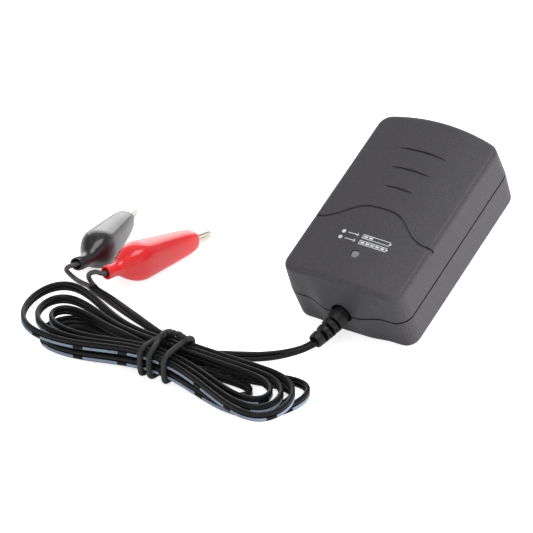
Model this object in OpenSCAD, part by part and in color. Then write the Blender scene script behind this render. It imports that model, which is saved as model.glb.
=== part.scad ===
// Plug-in charger for car batteries: a moulded two-shell housing that lies propped on its
// mains blades, and a twin lead, tied in a hank, that ends in two booted alligator clips.
// Millimetres. The housing is drawn lying flat, with its back face on z = 0 and its cord wall
// on y = 0, and prop() then tips it onto its blades. Cord, hank and clips lie on the floor.

/* [Housing] */
// Width of the housing
body_w = 46.8; // [44:0.1:58]
// Length from the cord wall to the crest of the arched end
body_l = 73; // [71:0.5:92]
// Thickness at the side edges
body_t = 25.1; // [25:0.1:32]
// Rise of the front face along its middle
crown = 1.7; // [0.4:0.1:2.2]
// Rise of the arched end over its corners
end_arch = 3.1; // [1:0.1:5]
// Radius of the four upright corners
corner_r = 5.3; // [3.2:0.1:6]
// Radius round the front face
front_edge_r = 1.6; // [0.8:0.1:2.4]
// Radius round the back face
back_edge_r = 2; // [0.8:0.1:2.4]
// How far the walls lean in from the joint line to each face
draft = 0.5; // [0:0.05:0.8]
// Wall thickness of both shells
wall = 2.2; // [1.8:0.1:2.6]
// Height of the joint line over the back face
joint_z = 13.5; // [12:0.1:14]
// Open height of the shadow line between the shells
joint_gap = 0.4; // [0.3:0.05:0.6]

/* [Cord outlet] */
// How far the outlet swells from the cord wall
outlet_rise = 2.5; // [2:0.1:3.5]
// Half width of the swelling
outlet_half_w = 14.8; // [12:0.1:17]
// Diameter of the grommet where it leaves the housing
grommet_d = 7; // [6.6:0.1:8.4]
// Diameter of the grommet at its tip
grommet_tip_d = 4.9; // [4.6:0.1:6.2]
// Clear ring round the grommet in the mouth of the outlet
outlet_clear = 0.35; // [0.3:0.05:0.8]

/* [Front face] */
// Width of the grooves at their middle
groove_w = 1; // [0.7:0.1:1.4]
// Depth of the grooves
groove_deep = 0.55; // [0.3:0.05:0.7]
// Distance of the outlet-side grip groove from the cord wall
grip_y = 42.3; // [40:0.1:46]
// Spacing of the three grip grooves
grip_pitch = 8.25; // [6:0.05:9]
// Height of the bell-shaped groove's crest over its feet
bell_rise = 8.8; // [6:0.1:11]
// Distance of the bell's feet from the cord wall
bell_y = 23.8; // [20:0.1:25]
// Diameter of the lamp
led_d = 3; // [2.8:0.1:5]
// Distance of the lamp from the cord wall
led_y = 12.8; // [11.5:0.1:14]

/* [Mains blades] */
// Reach of the blades from the back face
blade_len = 17; // [15.9:0.1:18.3]
// Width of a blade
blade_w = 6.35; // [6:0.05:6.7]
// Thickness of a blade
blade_t = 1.5; // [1.3:0.05:1.65]
// Spacing of the two blades
blade_pitch = 12.7; // [12.7:0.1:12.7]
// Distance of the blades from the cord wall
blade_y = 40; // [38:0.5:44]

/* [Circuit board] */
// Thickness of the board
board_t = 1.6; // [1:0.2:1.6]
// Height of the board's underside over the back wall's inner face
board_up = 3.8; // [3.6:0.1:4.4]
// Gap between the board and the housing walls
board_clear = 1.2; // [0.8:0.1:1.6]
// Diameter of the posts that carry the board
post_d = 4; // [3.4:0.1:4.4]
// Size of the transformer across the board, along it and upwards
transformer = [19, 16, 14.4];
// Diameter and length of the mains capacitor
bulk_cap = [12.5, 20];

/* [Cord] */
// Width of the twin lead
cord_w = 3.3; // [2.8:0.1:3.6]
// Thickness of the twin lead, and diameter of each of its cores
cord_t = 1.65; // [1.4:0.05:1.8]
// Diameter of the tie
tie_d = 1.8; // [1.6:0.1:2.2]

/* [Clips] */
// Length of a clip's metal from the wire crimp to the nose
clip_len = 42.5; // [40:0.5:45]
// Sheet thickness of the jaws
sheet = 0.6; // [0.5:0.05:0.7]
// Diameter of the rivet that the jaws turn on
rivet_d = 2; // [1.8:0.1:2.4]
// Wall of the soft boots
boot_wall = 0.8; // [0.6:0.05:1]
// Widest opening angle of the jaws
jaw_open = 20; // [10:1:22]

/* [Hidden] */
fine = 48;
eps = 0.01;

// ---- small tools ----

function unit(v) = v / norm(v);
function clamp(x, low, high) = min(max(x, low), high);
function ease(t) = let (c = clamp(t, 0, 1)) c * c * (3 - 2 * c);
function swell(t) = abs(t) < 1 ? (1 + cos(180 * t)) / 2 : 0;
function circle_points(n, r) = [for (k = [0:n - 1]) r * [cos(360 * k / n), sin(360 * k / n)]];

// Smooth curve through the points p, with n steps from each point to the next.
function spline_at(p, i, t) =
  let (a = p[max(i - 1, 0)], b = p[i], c = p[i + 1], d = p[min(i + 2, len(p) - 1)])
  0.5 * (2 * b + (c - a) * t + (2 * a - 5 * b + 4 * c - d) * t * t
         + (3 * b - a - 3 * c + d) * t * t * t);
function spline(p, n) =
  [for (i = [0:len(p) - 2], k = [0:n - 1]) spline_at(p, i, k / n), p[len(p) - 1]];

// Triangles of a closed skin over rings of m points each. Each ring runs clockwise as seen
// from the next one.
function skin_faces(rings, m) = [
  for (i = [0:rings - 2], k = [0:m - 1])
    let (a = i * m + k, b = i * m + (k + 1) % m)
    each [[a, b, b + m], [a, b + m, a + m]]
];
function cap_faces(rings, m) = [
  [for (k = [m - 1:-1:0]) k],
  [for (k = [0:m - 1]) (rings - 1) * m + k]
];

// Sweeps sections along path. sections holds one outline for each point of the path, as
// [sideways, upwards] pairs, counterclockwise as seen from behind.
module sweep(path, sections) {
  n = len(path);
  m = len(sections[0]);
  points = [
    for (i = [0:n - 1])
      let (
        along = unit(path[min(i + 1, n - 1)] - path[max(i - 1, 0)]),
        side = unit(cross(along, [0, 0, 1])),
        up = cross(side, along)
      )
      for (q = sections[i]) path[i] + q[0] * side + q[1] * up
  ];
  polyhedron(points, concat(skin_faces(n, m), cap_faces(n, m)));
}

// Section of the twin lead: two cores side by side, turned by roll about the path.
function twin_section(roll) =
  let (w = cord_w / 2, t = cord_t / 2, c = cos(roll), s = sin(roll))
  [for (q = [[w, 0], [0.55 * w, t], [0, 0.55 * t], [-0.55 * w, t],
             [-w, 0], [-0.55 * w, -t], [0, -0.55 * t], [0.55 * w, -t]])
    [q[0] * c - q[1] * s, q[0] * s + q[1] * c]];

// ---- housing outline ----

half_w = body_w / 2;
corner_steps = 6;
wall_steps = 22;
arch_corner_x = half_w - corner_r;
arch_r = (half_w * half_w + end_arch * end_arch) / (2 * end_arch);
arch_y = body_l - arch_r;
arch_corner_y = arch_y + sqrt(pow(arch_r - corner_r, 2) - pow(arch_corner_x, 2));
arch_turn = asin(arch_corner_x / (arch_r - corner_r));

// Cord-wall half of the outline at an inset, from the left side round to the right side.
function near_chain(inset) =
  let (r = corner_r - inset, x = half_w - corner_r)
  concat(
    [for (k = [0:corner_steps]) let (a = 180 + 90 * k / corner_steps)
      [-x + r * cos(a), corner_r + r * sin(a)]],
    [for (k = [1:wall_steps - 1]) [x * (2 * k / wall_steps - 1), inset]],
    [for (k = [0:corner_steps]) let (a = 270 + 90 * k / corner_steps)
      [x + r * cos(a), corner_r + r * sin(a)]]
  );
// Arched half of the outline at an inset, from the left side round to the right side.
function far_chain(inset) =
  let (r = corner_r - inset, end_r = arch_r - inset)
  concat(
    [for (k = [0:corner_steps]) let (a = 180 - (90 - arch_turn) * k / corner_steps)
      [-arch_corner_x + r * cos(a), arch_corner_y + r * sin(a)]],
    [for (k = [1:wall_steps - 1]) let (a = 90 + arch_turn * (1 - 2 * k / wall_steps))
      [end_r * cos(a), arch_y + end_r * sin(a)]],
    [for (k = [0:corner_steps]) let (a = 90 - arch_turn - (90 - arch_turn) * k / corner_steps)
      [arch_corner_x + r * cos(a), arch_corner_y + r * sin(a)]]
  );
function reversed(list) = [for (k = [len(list) - 1:-1:0]) list[k]];
function outline(inset) = concat(near_chain(inset), reversed(far_chain(inset)));
chain_count = len(near_chain(0));
ring_count = 2 * chain_count;

module outline_plate(inset, low, high)
  translate([0, 0, low]) linear_extrude(high - low) polygon(outline(inset));

// The cord wall swells to a soft boss round the outlet. It fades out below the front face
// and runs a little way past the back face.
outlet_side = 9.2;
outlet_down = 20.7;
function outlet_swell(p, z) =
  p[1] < corner_r / 2
  ? outlet_rise * ease((outlet_half_w - abs(p[0])) / outlet_side)
    * swell((z - joint_z) / (z > joint_z ? body_t - joint_z - 0.2 : outlet_down))
  : 0;
function crown_at(x) = crown * (1 - pow(clamp(abs(x) / half_w, 0, 1), 2));
function housing_ring(inset, z) = [
  for (p = outline(inset))
    [p[0], p[1] - outlet_swell(p, z),
     z + crown_at(p[0]) * ease((z - joint_z) / (body_t - joint_z))]
];
// Front face in strips that run along the housing, so that the crown stays true.
function strip_cap(first) = [
  for (k = [0:chain_count - 2])
    let (a = first + k, b = first + k + 1,
         c = first + ring_count - 2 - k, d = first + ring_count - 1 - k)
    each [[a, d, c], [a, c, b]]
];

// Rings [inset, height] of the two shells' outer skins.
edge_steps = 4;
front_levels = concat(
  [for (k = [0:6]) let (z = mix(joint_z + joint_gap / 2, body_t - front_edge_r, k / 6))
    [lean(z), z]],
  [for (k = [1:edge_steps]) let (a = 90 * k / edge_steps)
    [draft + front_edge_r * (1 - cos(a)), body_t - front_edge_r * (1 - sin(a))]]
);
back_levels = concat(
  [for (k = [0:edge_steps - 1]) let (a = 90 * k / edge_steps)
    [draft + back_edge_r * (1 - sin(a)), back_edge_r * (1 - cos(a))]],
  [for (k = [0:6]) let (z = mix(back_edge_r, joint_z - joint_gap / 2, k / 6)) [lean(z), z]]
);
function mix(a, b, t) = a + (b - a) * t;
function lean(z) = draft * (z > joint_z
  ? (z - joint_z) / (body_t - front_edge_r - joint_z)
  : (joint_z - z) / (joint_z - back_edge_r));

module housing_skin(levels) {
  rings = len(levels);
  points = [for (l = levels) each housing_ring(l[0], l[1])];
  walls = [for (f = skin_faces(rings, ring_count)) [f[2], f[1], f[0]]];
  back_cap = [for (f = strip_cap(0)) [f[2], f[1], f[0]]];
  front_cap = strip_cap((rings - 1) * ring_count);
  polyhedron(points, concat(walls, back_cap, front_cap));
}

// ---- tipping the housing onto its blades ----

blade_corner = 1.2;
rest_reach = blade_y - blade_w / 2 + blade_corner;
// The housing stands on the blades' corners and on the lowest point of its back shell. The
// tilt at which both touch the floor is found by repeated steps.
back_points = [for (l = back_levels) each housing_ring(l[0], l[1])];
function lowest(t) = min([for (p = back_points) p[1] * sin(t) + p[2] * cos(t)]);
function settle(t, n) =
  n == 0 ? t : settle(asin((blade_len * cos(t) + lowest(t)) / rest_reach), n - 1);
rest_tilt = settle(25, 9);
rest_lift = -lowest(rest_tilt);
function to_floor(p) = [
  p[0],
  p[1] * cos(rest_tilt) - p[2] * sin(rest_tilt),
  p[1] * sin(rest_tilt) + p[2] * cos(rest_tilt) + rest_lift
];
// The part's origin is under the middle of the housing's box.
housing_points = [
  for (l = concat(back_levels, front_levels), p = housing_ring(l[0], l[1])) to_floor(p)
];
origin_y = (min([for (p = housing_points) p[1]]) + max([for (p = housing_points) p[1]])) / 2;

module on_floor() translate([0, -origin_y, 0]) children();
module prop() on_floor() translate([0, 0, rest_lift]) rotate([rest_tilt, 0, 0]) children();

// ---- shells ----

lip_in = 1.1;
lip_h = 1.5;
fit = 0.15;
ceiling = body_t - wall;
cavity = wall + draft;
board_z = wall + board_up;
deck_z = board_z + board_t;
flange_d = grommet_d + 2.4;
flange_t = 1.6;
board_w = body_w - 2 * (cavity + board_clear);
board_y0 = cavity + flange_t + 0.4;
board_y1 = body_l - end_arch - cavity - board_clear;
post_inset = 2.6;
posts = [for (x = [-1, 1], y = [board_y0 + post_inset, board_y1 - post_inset])
  [x * (board_w / 2 - post_inset), y]];
post_pin_d = 1.8;
neck_d = grommet_d - 1.4;
neck_y = -outlet_rise + 3;

// Room for the grommet: a mouth in the boss, a neck through the wall and its flange behind.
module outlet_room(clear) {
  translate([0, neck_y, joint_z]) rotate([90, 0, 0])
    cylinder(d = grommet_d + 2 * clear, h = outlet_rise + 4, $fn = fine);
  translate([0, cavity + flange_t + 2, joint_z]) rotate([90, 0, 0])
    cylinder(d = neck_d + 0.2, h = cavity + flange_t + 3 - neck_y, $fn = fine);
}

function bell_line(x) =
  let (s = swell((x + 1) / 21)) bell_y + bell_rise * s * (1 + 0.25 * sin(180 * s));
function front_z(x) =
  let (past = abs(x) - (half_w - draft - front_edge_r))
  past < 0 ? body_t + crown_at(x)
           : body_t - front_edge_r + sqrt(max(pow(front_edge_r, 2) - past * past, 0));
module bell_groove() {
  reach = half_w - draft - front_edge_r;
  steps = 34;
  over = [for (k = [0:steps]) let (x = mix(-reach, reach, k / steps))
    [x, bell_line(x), front_z(x)]];
  function down(side) = [for (a = [30, 60, 88])
    let (x = side * (reach + (front_edge_r + 0.05) * sin(a)))
    [x, bell_line(x), body_t - front_edge_r * (1 - cos(a))]];
  path = concat(reversed(down(-1)), over, down(1));
  half = groove_w / 2;
  slot = [[half, 0.5], [-half, 0.5], [-half * 0.6, -groove_deep], [half * 0.6, -groove_deep]];
  sweep(path, [for (p = path) slot]);
}
// Crescent-shaped grip groove whose horns point to the cord end.
module grip_groove(y, half_len) {
  sag = 0.11 * half_len;
  steps = 16;
  far = [for (k = [0:steps]) let (t = 2 * k / steps - 1) [t * half_len, y - sag * t * t]];
  near = [for (k = [steps - 1:-1:1])
    let (t = 2 * k / steps - 1) far[k] - [0, groove_w * (1 - t * t)]];
  translate([0, 0, body_t + crown_at(half_len / 2) - groove_deep]) linear_extrude(3)
    polygon(concat(far, near));
}

module front_shell() color("#3f3d42") prop() {
  difference() {
    housing_skin(front_levels);
    outline_plate(cavity, 0, ceiling);
    outline_plate(lip_in - fit, joint_z, joint_z + lip_h);
    outlet_room(outlet_clear);
    translate([0, led_y, ceiling - 1])
      cylinder(d = led_d + 0.2, h = wall + crown + 2, $fn = fine);
    bell_groove();
    for (k = [0:2]) grip_groove(grip_y + k * grip_pitch, 5.45 + k * 2.12);
  }
  for (p = posts) board_press(p);
}
// Hollow post from the front wall down to the board.
module board_press(p) translate([p[0], p[1], deck_z]) difference() {
  cylinder(d = post_d, h = ceiling - deck_z + 0.2, $fn = fine);
  translate([0, 0, -1]) cylinder(d = post_pin_d + 0.6, h = 4, $fn = fine);
}

clamp_pin = [blade_pitch / 2 + 5, 2];
clamp_z = wall + 1.5;
module rear_shell() color("#3a383d") prop() {
  difference() {
    union() {
      housing_skin(back_levels);
      difference() {
        outline_plate(lip_in, joint_z - joint_gap / 2 - 0.5, joint_z + lip_h);
        outline_plate(cavity, 0, body_t);
      }
    }
    difference() {
      outline_plate(cavity, wall, body_t);
      for (p = posts) board_post(p);
      for (x = [-1, 1]) translate([x * clamp_pin[0], blade_y, 0])
        cylinder(d = clamp_pin[1], h = board_z - 0.3, $fn = fine);
    }
    outlet_room(outlet_clear);
    for (x = [-1, 1]) translate([x * blade_pitch / 2, blade_y, wall / 2])
      cube([blade_t + 0.2, blade_w + 0.2, wall * 2], center = true);
  }
}
module board_post(p) translate([p[0], p[1], 0]) {
  cylinder(d = post_d + 1, h = board_z, $fn = fine);
  cylinder(d = post_pin_d, h = deck_z + 0.8, $fn = fine);
}

// ---- mains blades ----

blade_hole_d = 3.1;
blade_hole_z = -11.9;
module blade(x) color("#c9c6bd") prop() translate([x, blade_y, 0]) {
  difference() {
    translate([-blade_t / 2, 0, 0]) rotate([90, 0, 90]) linear_extrude(blade_t) polygon([
      [-blade_w / 2, clamp_z], [-blade_w / 2, -blade_len + blade_corner],
      [-blade_w / 2 + blade_corner, -blade_len], [blade_w / 2 - blade_corner, -blade_len],
      [blade_w / 2, -blade_len + blade_corner], [blade_w / 2, clamp_z]
    ]);
    translate([-blade_t, 0, blade_hole_z]) rotate([0, 90, 0])
      cylinder(d = blade_hole_d, h = 2 * blade_t, $fn = fine);
  }
  translate([-blade_t / 2, -blade_w / 2 - 1.2, wall]) cube([blade_t, blade_w + 2.4, 1.5]);
  translate([-0.4, -1.2, clamp_z - eps]) cube([0.8, 2.4, deck_z + 1 - clamp_z]);
}
module blade_left() blade(-blade_pitch / 2);
module blade_right() blade(blade_pitch / 2);

module blade_clamp() color("#e8e4d8") prop() translate([0, blade_y, clamp_z]) difference() {
  width = 2 * clamp_pin[0] + 5;
  height = board_z - clamp_z - 0.3;
  translate([-width / 2, -5.5, 0]) cube([width, 11, height]);
  for (x = [-1, 1]) {
    translate([x * blade_pitch / 2, 0, 0]) cube([1.2, 2.8, 20], center = true);
    translate([x * clamp_pin[0], 0, -1]) cylinder(d = clamp_pin[1] + 0.2, h = 9, $fn = fine);
  }
}

// ---- circuit board and its components ----

module circuit_board() color("#1f6b3a") prop() difference() {
  translate([-board_w / 2, board_y0, board_z]) cube([board_w, board_y1 - board_y0, board_t]);
  for (p = posts) translate([p[0], p[1], 0])
    cylinder(d = post_pin_d + 0.4, h = body_t, $fn = fine);
  for (x = [-1, 1]) translate([x * blade_pitch / 2, blade_y, 0])
    cube([1.4, 3, 4 * board_z], center = true);
}
// Mains parts stand by the arched end, the transformer across the middle and the battery
// side by the cord outlet.
module on_board(x, y) prop() translate([x, y, deck_z]) children();
left_x = -board_w / 2;
right_x = board_w / 2;
cap_y = board_y1 - 7.2;
mains_y = cap_y - bulk_cap[0] / 2 - 5.4;
core_y = (mains_y - 4.5 + board_y0 + 16) / 2;

fuse_x = left_x + 5.6;
module fuse() color("#5b3a26") on_board(fuse_x, mains_y) {
  cylinder(d = 8.4, h = 6.6, $fn = fine);
  cylinder(d = 7.4, h = 7.4, $fn = fine);
}

choke_x = left_x + 15.6;
module choke_core() color("#4a4a4c") on_board(choke_x, mains_y) difference() {
  translate([-4.5, -4.5, 0.4]) cube([9, 9, 10.2]);
  for (x = [-1, 1]) translate([x * 2.9, 0, 5.5]) cube([2.6, 10, 6.2], center = true);
  translate([0, 0, -1]) cylinder(d = 1, h = 1.2, $fn = fine);
}
module choke_winding() color("#b5651d") on_board(choke_x, mains_y)
  for (x = [-1, 1]) translate([x * 2.9, 0, 5.5]) rotate([90, 0, 0])
    translate([0, 0, -4.3]) cylinder(d = 2.3, h = 8.6, $fn = fine);

module line_capacitor() color("#d8b23a") on_board(right_x - 7.2, mains_y) {
  translate([-6.5, -3, 0]) cube([13, 6, 11]);
  translate([-6.1, -2.6, 10]) cube([12.2, 5.2, 1.3]);
}

rectifier_y = mains_y - 7.6;
module bridge_rectifier() color("#2a2a2c") on_board(right_x - 5.4, rectifier_y) {
  translate([-4.2, -3.2, 0.3]) cube([8.4, 6.4, 3.2]);
  for (x = [-1, 1], y = [-1, 1]) translate([x * 2.55 - 0.4, y * 3.35 - 0.4, 0])
    cube([0.8, 0.8, 2]);
}

module mains_capacitor() color("#27364f") on_board(right_x - bulk_cap[1] / 2 - 5.2, cap_y)
  translate([-bulk_cap[1] / 2, 0, bulk_cap[0] / 2]) rotate([0, 90, 0]) {
    cylinder(d = bulk_cap[0], h = 1.6, $fn = fine);
    cylinder(d = bulk_cap[0] - 1, h = 3, $fn = fine);
    translate([0, 0, 2.4]) cylinder(d = bulk_cap[0], h = bulk_cap[1] - 2.4, $fn = fine);
  }

winding_gap = 0.3;
bobbin_wall = 1;
core_leg = 4.6;
core_x = 0.2;
module transformer_core() color("#3c3c3e") on_board(core_x, core_y) difference() {
  translate([-transformer[0] / 2, -core_leg / 2, 1])
    cube([transformer[0], core_leg, transformer[2] - 1]);
  for (x = [-1, 1])
    translate([x * transformer[0] / 4, 0, transformer[2] / 2 + 0.5])
      cube([transformer[0] / 4, core_leg + 1, transformer[2] - 5], center = true);
}
module transformer_bobbin() color("#1c1c1e") on_board(core_x, core_y) {
  window = transformer[2] - 5;
  mid = transformer[2] / 2 + 0.5;
  leg = transformer[0] / 4;
  difference() {
    union() {
      for (z = [mid - window / 2 + 0.1, mid + window / 2 - 0.9])
        translate([-transformer[0] / 2 + 2.6, -transformer[1] / 2, z])
          cube([transformer[0] - 5.2, transformer[1], 0.8]);
      translate([-leg / 2 - bobbin_wall, -core_leg / 2 - bobbin_wall, mid - window / 2 + 0.5])
        cube([leg + 2 * bobbin_wall, core_leg + 2 * bobbin_wall, window - 1]);
    }
    cube([leg + 0.1, core_leg + 0.1, 60], center = true);
    for (x = [-1, 1]) translate([x * (transformer[0] / 2 - 1), 0, 0])
      cube([transformer[0] / 4 + 0.4, core_leg + 0.2, 60], center = true);
  }
  for (y = [-1, 1], k = [-2:2])
    translate([k * 2.6 - 0.35, y * (transformer[1] / 2 - 1.1) - 0.35, 0])
      cube([0.7, 0.7, mid - window / 2 + 0.2]);
}
module transformer_winding() color("#e0c341") on_board(core_x, core_y) {
  window = transformer[2] - 5;
  mid = transformer[2] / 2 + 0.5;
  leg = transformer[0] / 4;
  inner = [leg + 2 * bobbin_wall + 0.1, core_leg + 2 * bobbin_wall + 0.1];
  outer = [transformer[0] / 4 * 2.5, transformer[1] - 2.4];
  translate([0, 0, mid - window / 2 + 1.1]) linear_extrude(window - 2.2) difference() {
    intersection() {
      square(outer, center = true);
      circle(d = outer[1], $fn = fine);
    }
    square(inner, center = true);
    for (x = [-1, 1]) translate([x * transformer[0] * 0.4375, 0])
      square([transformer[0] / 4, core_leg + 0.2], center = true);
  }
}

// Moulded chip with two rows of legs along its length.
module dip(size, legs) {
  translate([-size[0] / 2, -size[1] / 2, 0.6]) difference() {
    cube([size[0], size[1], size[2] - 0.6]);
    translate([size[0] / 2, 0, size[2] - 1]) cylinder(d = 1.4, h = 2, $fn = fine);
  }
  for (x = [-1, 1], k = [0:legs - 1])
    translate([x * (size[0] / 2 + 0.2) - 0.2, (k - (legs - 1) / 2) * 2.54 - 0.35, 0])
      cube([0.4, 0.7, 2.2]);
}
module switching_chip() color("#2a2a2c") on_board(left_x + 5, mains_y - 9.3)
  dip([6.4, 8.8, 3.8], 4);
module charge_chip() color("#2a2a2c") on_board(right_x - 4.6, board_y0 + 11.2)
  dip([6.2, 8.2, 3.6], 3);
module optocoupler() color("#f1eee6") on_board(left_x + 4.6, core_y - 4.6)
  dip([6.4, 4.6, 3.6], 2);

sink_y = core_y - 3.2;
module heat_sink() color("#b9bcc0") on_board(right_x - 1.6, sink_y) difference() {
  translate([-0.75, -7.2, 0]) cube([1.5, 14.4, 13.2]);
  translate([-2, 0, 11]) rotate([0, 90, 0]) cylinder(d = 3.2, h = 4, $fn = fine);
}
module output_diode() color("#2a2a2c") on_board(right_x - 2.35, sink_y) {
  translate([-4.4, -5, 1.8]) cube([3.8, 10, 7.4]);
  translate([-0.9, -5, 1.8]) difference() {
    cube([0.9, 10, 11.4]);
    translate([-1, 5, 9.2]) rotate([0, 90, 0]) cylinder(d = 3.2, h = 4, $fn = fine);
  }
  for (y = [-2.5, 2.5]) translate([-2.9, y - 0.4, 0]) cube([0.6, 0.8, 2]);
}

module safety_capacitor() color("#2f6fb3") on_board(left_x + 4.6, core_y - 0.4)
  translate([0, 0, 4.6]) rotate([90, 0, 0]) {
    cylinder(d = 3, h = 2.8, center = true, $fn = fine);
    cylinder(d = 4.6, h = 2.2, center = true, $fn = fine);
    for (x = [-1.3, 1.3]) translate([x, -3.2, 0]) cube([0.6, 2.8, 0.6], center = true);
  }
module output_capacitors() color("#20242c")
  for (y = [board_y0 + 7.2, board_y0 + 15.4]) on_board(left_x + 6.6, y) {
    cylinder(d = 8, h = 1.4, $fn = fine);
    cylinder(d = 7.2, h = 2.6, $fn = fine);
    translate([0, 0, 2.2]) cylinder(d = 8, h = 9.6, $fn = fine);
  }
module output_inductor() color("#59595c") on_board(6.4, board_y0 + 12) {
  cylinder(d = 6.6, h = 1.2, $fn = fine);
  cylinder(d = 5.2, h = 7.6, $fn = fine);
  translate([0, 0, 6.4]) cylinder(d = 6.6, h = 1.2, $fn = fine);
}
module resistors() color("#c9a56b")
  for (k = [0:2]) on_board(left_x + 8.3, cap_y - 3.2 + 3.2 * k)
    translate([-3.1, 0, 1.15]) rotate([0, 90, 0]) {
      cylinder(d = 2.3, h = 1.4, $fn = fine);
      cylinder(d = 1.9, h = 6.2, $fn = fine);
      translate([0, 0, 4.8]) cylinder(d = 2.3, h = 1.4, $fn = fine);
    }

led_top = body_t + crown_at(0) + 0.15;
led_h = 5.2;
flange_z = ceiling - 1;
module led() color("#cfd3cf") {
  prop() translate([0, led_y, 0]) {
    translate([0, 0, flange_z]) cylinder(d = led_d, h = led_top - 0.5 - flange_z, $fn = fine);
    translate([0, 0, led_top - 0.5]) cylinder(d1 = led_d, d2 = led_d - 1, h = 0.5, $fn = fine);
    translate([0, 0, flange_z]) cylinder(d = led_d + 0.8, h = 0.9, $fn = fine);
    for (x = [-1.1, 0, 1.1]) translate([x - 0.25, -0.25, deck_z])
      cube([0.5, 0.5, flange_z - deck_z + eps]);
  }
}
module led_spacer() color("#f4f2ea") on_board(0, led_y) difference() {
  cylinder(d = led_d + 1.4, h = flange_z - deck_z, $fn = fine);
  translate([0, 0, -1]) cylinder(d = led_d, h = 30, $fn = fine);
}

module inner_wires() for (x = [-1, 1]) color(x < 0 ? "#17171a" : "#c3141b") prop() {
  start = cavity + flange_t + 0.25;
  route = spline([
    [x * cord_t / 2, start, joint_z], [x * cord_t / 2, start + 1, joint_z],
    [x * 1.2, start + 2.6, joint_z - 1.6], [x * 1.9, start + 3.2, deck_z + 1.2],
    [x * 1.9, start + 3.2, deck_z + 0.15]
  ], 3);
  sweep(route, [for (p = route) circle_points(8, 0.6)]);
}

// ---- strain relief ----

// Axis of the grommet, in the flat housing's own place.
band_y = -outlet_rise - 1.1;
grommet_axis = spline([
  [0, band_y, joint_z], [-0.55, band_y - 3.4, joint_z], [-1.02, band_y - 6.2, joint_z + 0.05],
  [-1.53, band_y - 9.2, joint_z + 0.35], [-2.1, band_y - 12.4, joint_z + 0.7]
], 4);
grommet_last = len(grommet_axis) - 1;
grommet_tip = grommet_axis[grommet_last];
tip_hollow = 2;
function grommet_heading(i) =
  unit(grommet_axis[min(i + 1, grommet_last)] - grommet_axis[max(i - 1, 0)]);
module on_grommet(i) {
  h = grommet_heading(i);
  translate(grommet_axis[i]) rotate([0, 0, atan2(h[0], -h[1])]) rotate([-asin(h[2]), 0, 0])
    children();
}
module strain_relief() color("#2b2a2d") prop() {
  difference() {
    sweep(grommet_axis, [for (i = [0:grommet_last])
      circle_points(20, mix(grommet_d, grommet_tip_d, i / grommet_last) / 2)]);
    for (cut = [[4, 0.9], [8, 1.1], [12, 1.35]]) relief_slot(cut[0], cut[1], 1, 0.9);
    for (i = [6, 10]) relief_slot(i, 0.7, -1, 0.8);
    on_grommet(grommet_last) rotate([90, 9, 0])
      cylinder(d = grommet_tip_d - 1.2, h = 2 * tip_hollow, center = true, $fn = fine);
  }
  translate([0, band_y - 0.8, joint_z]) rotate([-90, 0, 0])
    cylinder(d = neck_d, h = cavity - band_y + 0.8, $fn = fine);
  translate([0, cavity, joint_z]) rotate([-90, 0, 0])
    cylinder(d = flange_d, h = flange_t, $fn = fine);
}
// Slot right across the grommet, open to the front or to the back, which leaves a web on the
// other side that starts deep past the middle.
module relief_slot(i, width, face, deep) on_grommet(i)
  translate([-5, -width / 2, face > 0 ? -deep : deep - 6]) cube([10, width, 6]);

// ---- hank ----

core_r = cord_t / 2;
// Six loops in two layers. Turns count from the waist's far run, heading for the left end.
// A loop's rank is how many steps it lies outside the innermost place.
hank_turns = 6;
hank_steps = 24;
layer_turns = hank_turns / 2;
rank_gap = cord_t + 0.47;
layer_gap = cord_w + 0.6;
hank_at = [-38, -54.5];
hank_yaw = -1;
waist_half = 0.55;
// Reach, swelling and lean of each half turn's end, left and right in turn.
hank_tips = [
  [47.2, 18, 0.3], [49.4, 24, 6.5], [43.9, 16, 1.5], [46.2, 21.5, 4.5], [40.5, 14.6, 2.8],
  [33.2, 21, 1.5], [46.9, 15.4, 4.3], [43, 17.5, -5], [52.9, 18.5, 5.4], [47.2, 19.5, -5.8],
  [59, 21.5, 6.4], [51.4, 21, -6]
];
climb = 0.16;
tie_room = tie_d + 0.35;
function hank_rank(s) = abs(s - layer_turns);
function hank_local(s) =
  let (
    a = 90 + 360 * s,
    tip = hank_tips[clamp(floor(2 * s + 0.000001), 0, len(hank_tips) - 1)],
    layer = ease((s - layer_turns) / climb + 0.5),
    u = cos(a) * tip[0],
    v = sin(a) * (waist_half + hank_rank(s) * rank_gap + tip[1] * pow(u / 50, 2))
      + tip[2] * pow(abs(u) / 50, 3)
  )
  [u, v, cord_w / 2 + tie_room * swell(u / 34) + layer * layer_gap];
function hank_place(p) = [
  hank_at[0] + p[0] * cos(hank_yaw) - p[1] * sin(hank_yaw),
  hank_at[1] + p[0] * sin(hank_yaw) + p[1] * cos(hank_yaw),
  p[2]
];
function hank_point(s) = hank_place(hank_local(s));
function hank_heading(s) = unit(hank_point(s + 0.01) - hank_point(s - 0.01));
hank_path = [for (k = [0:hank_turns * hank_steps]) hank_point(k / hank_steps)];
hank_section = [
  [core_r, -cord_w / 4], [core_r, cord_w / 4], [0, cord_w / 2],
  [-core_r, cord_w / 4], [-core_r, -cord_w / 4], [0, -cord_w / 2]
];
module cord_hank() color("#1d1d20") on_floor()
  sweep(hank_path, [for (p = hank_path) hank_section]);

// Least gap of the hank to itself: the lead stands on edge, so two places clear each other
// sideways by their distance less its thickness, or upwards by their distance less its width.
gap_points = [for (k = [0:hank_turns * 60]) hank_point(k / 60)];
hank_gap = min([
  for (i = [0:len(gap_points) - 1], j = [i + 12:1:len(gap_points) - 1])
    let (d = gap_points[i] - gap_points[j])
    max(norm([d[0], d[1]]) - cord_t, abs(d[2]) - cord_w)
]);
echo("least gap of the hank to itself", hank_gap);

// ---- cord from the housing to the hank ----

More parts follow.
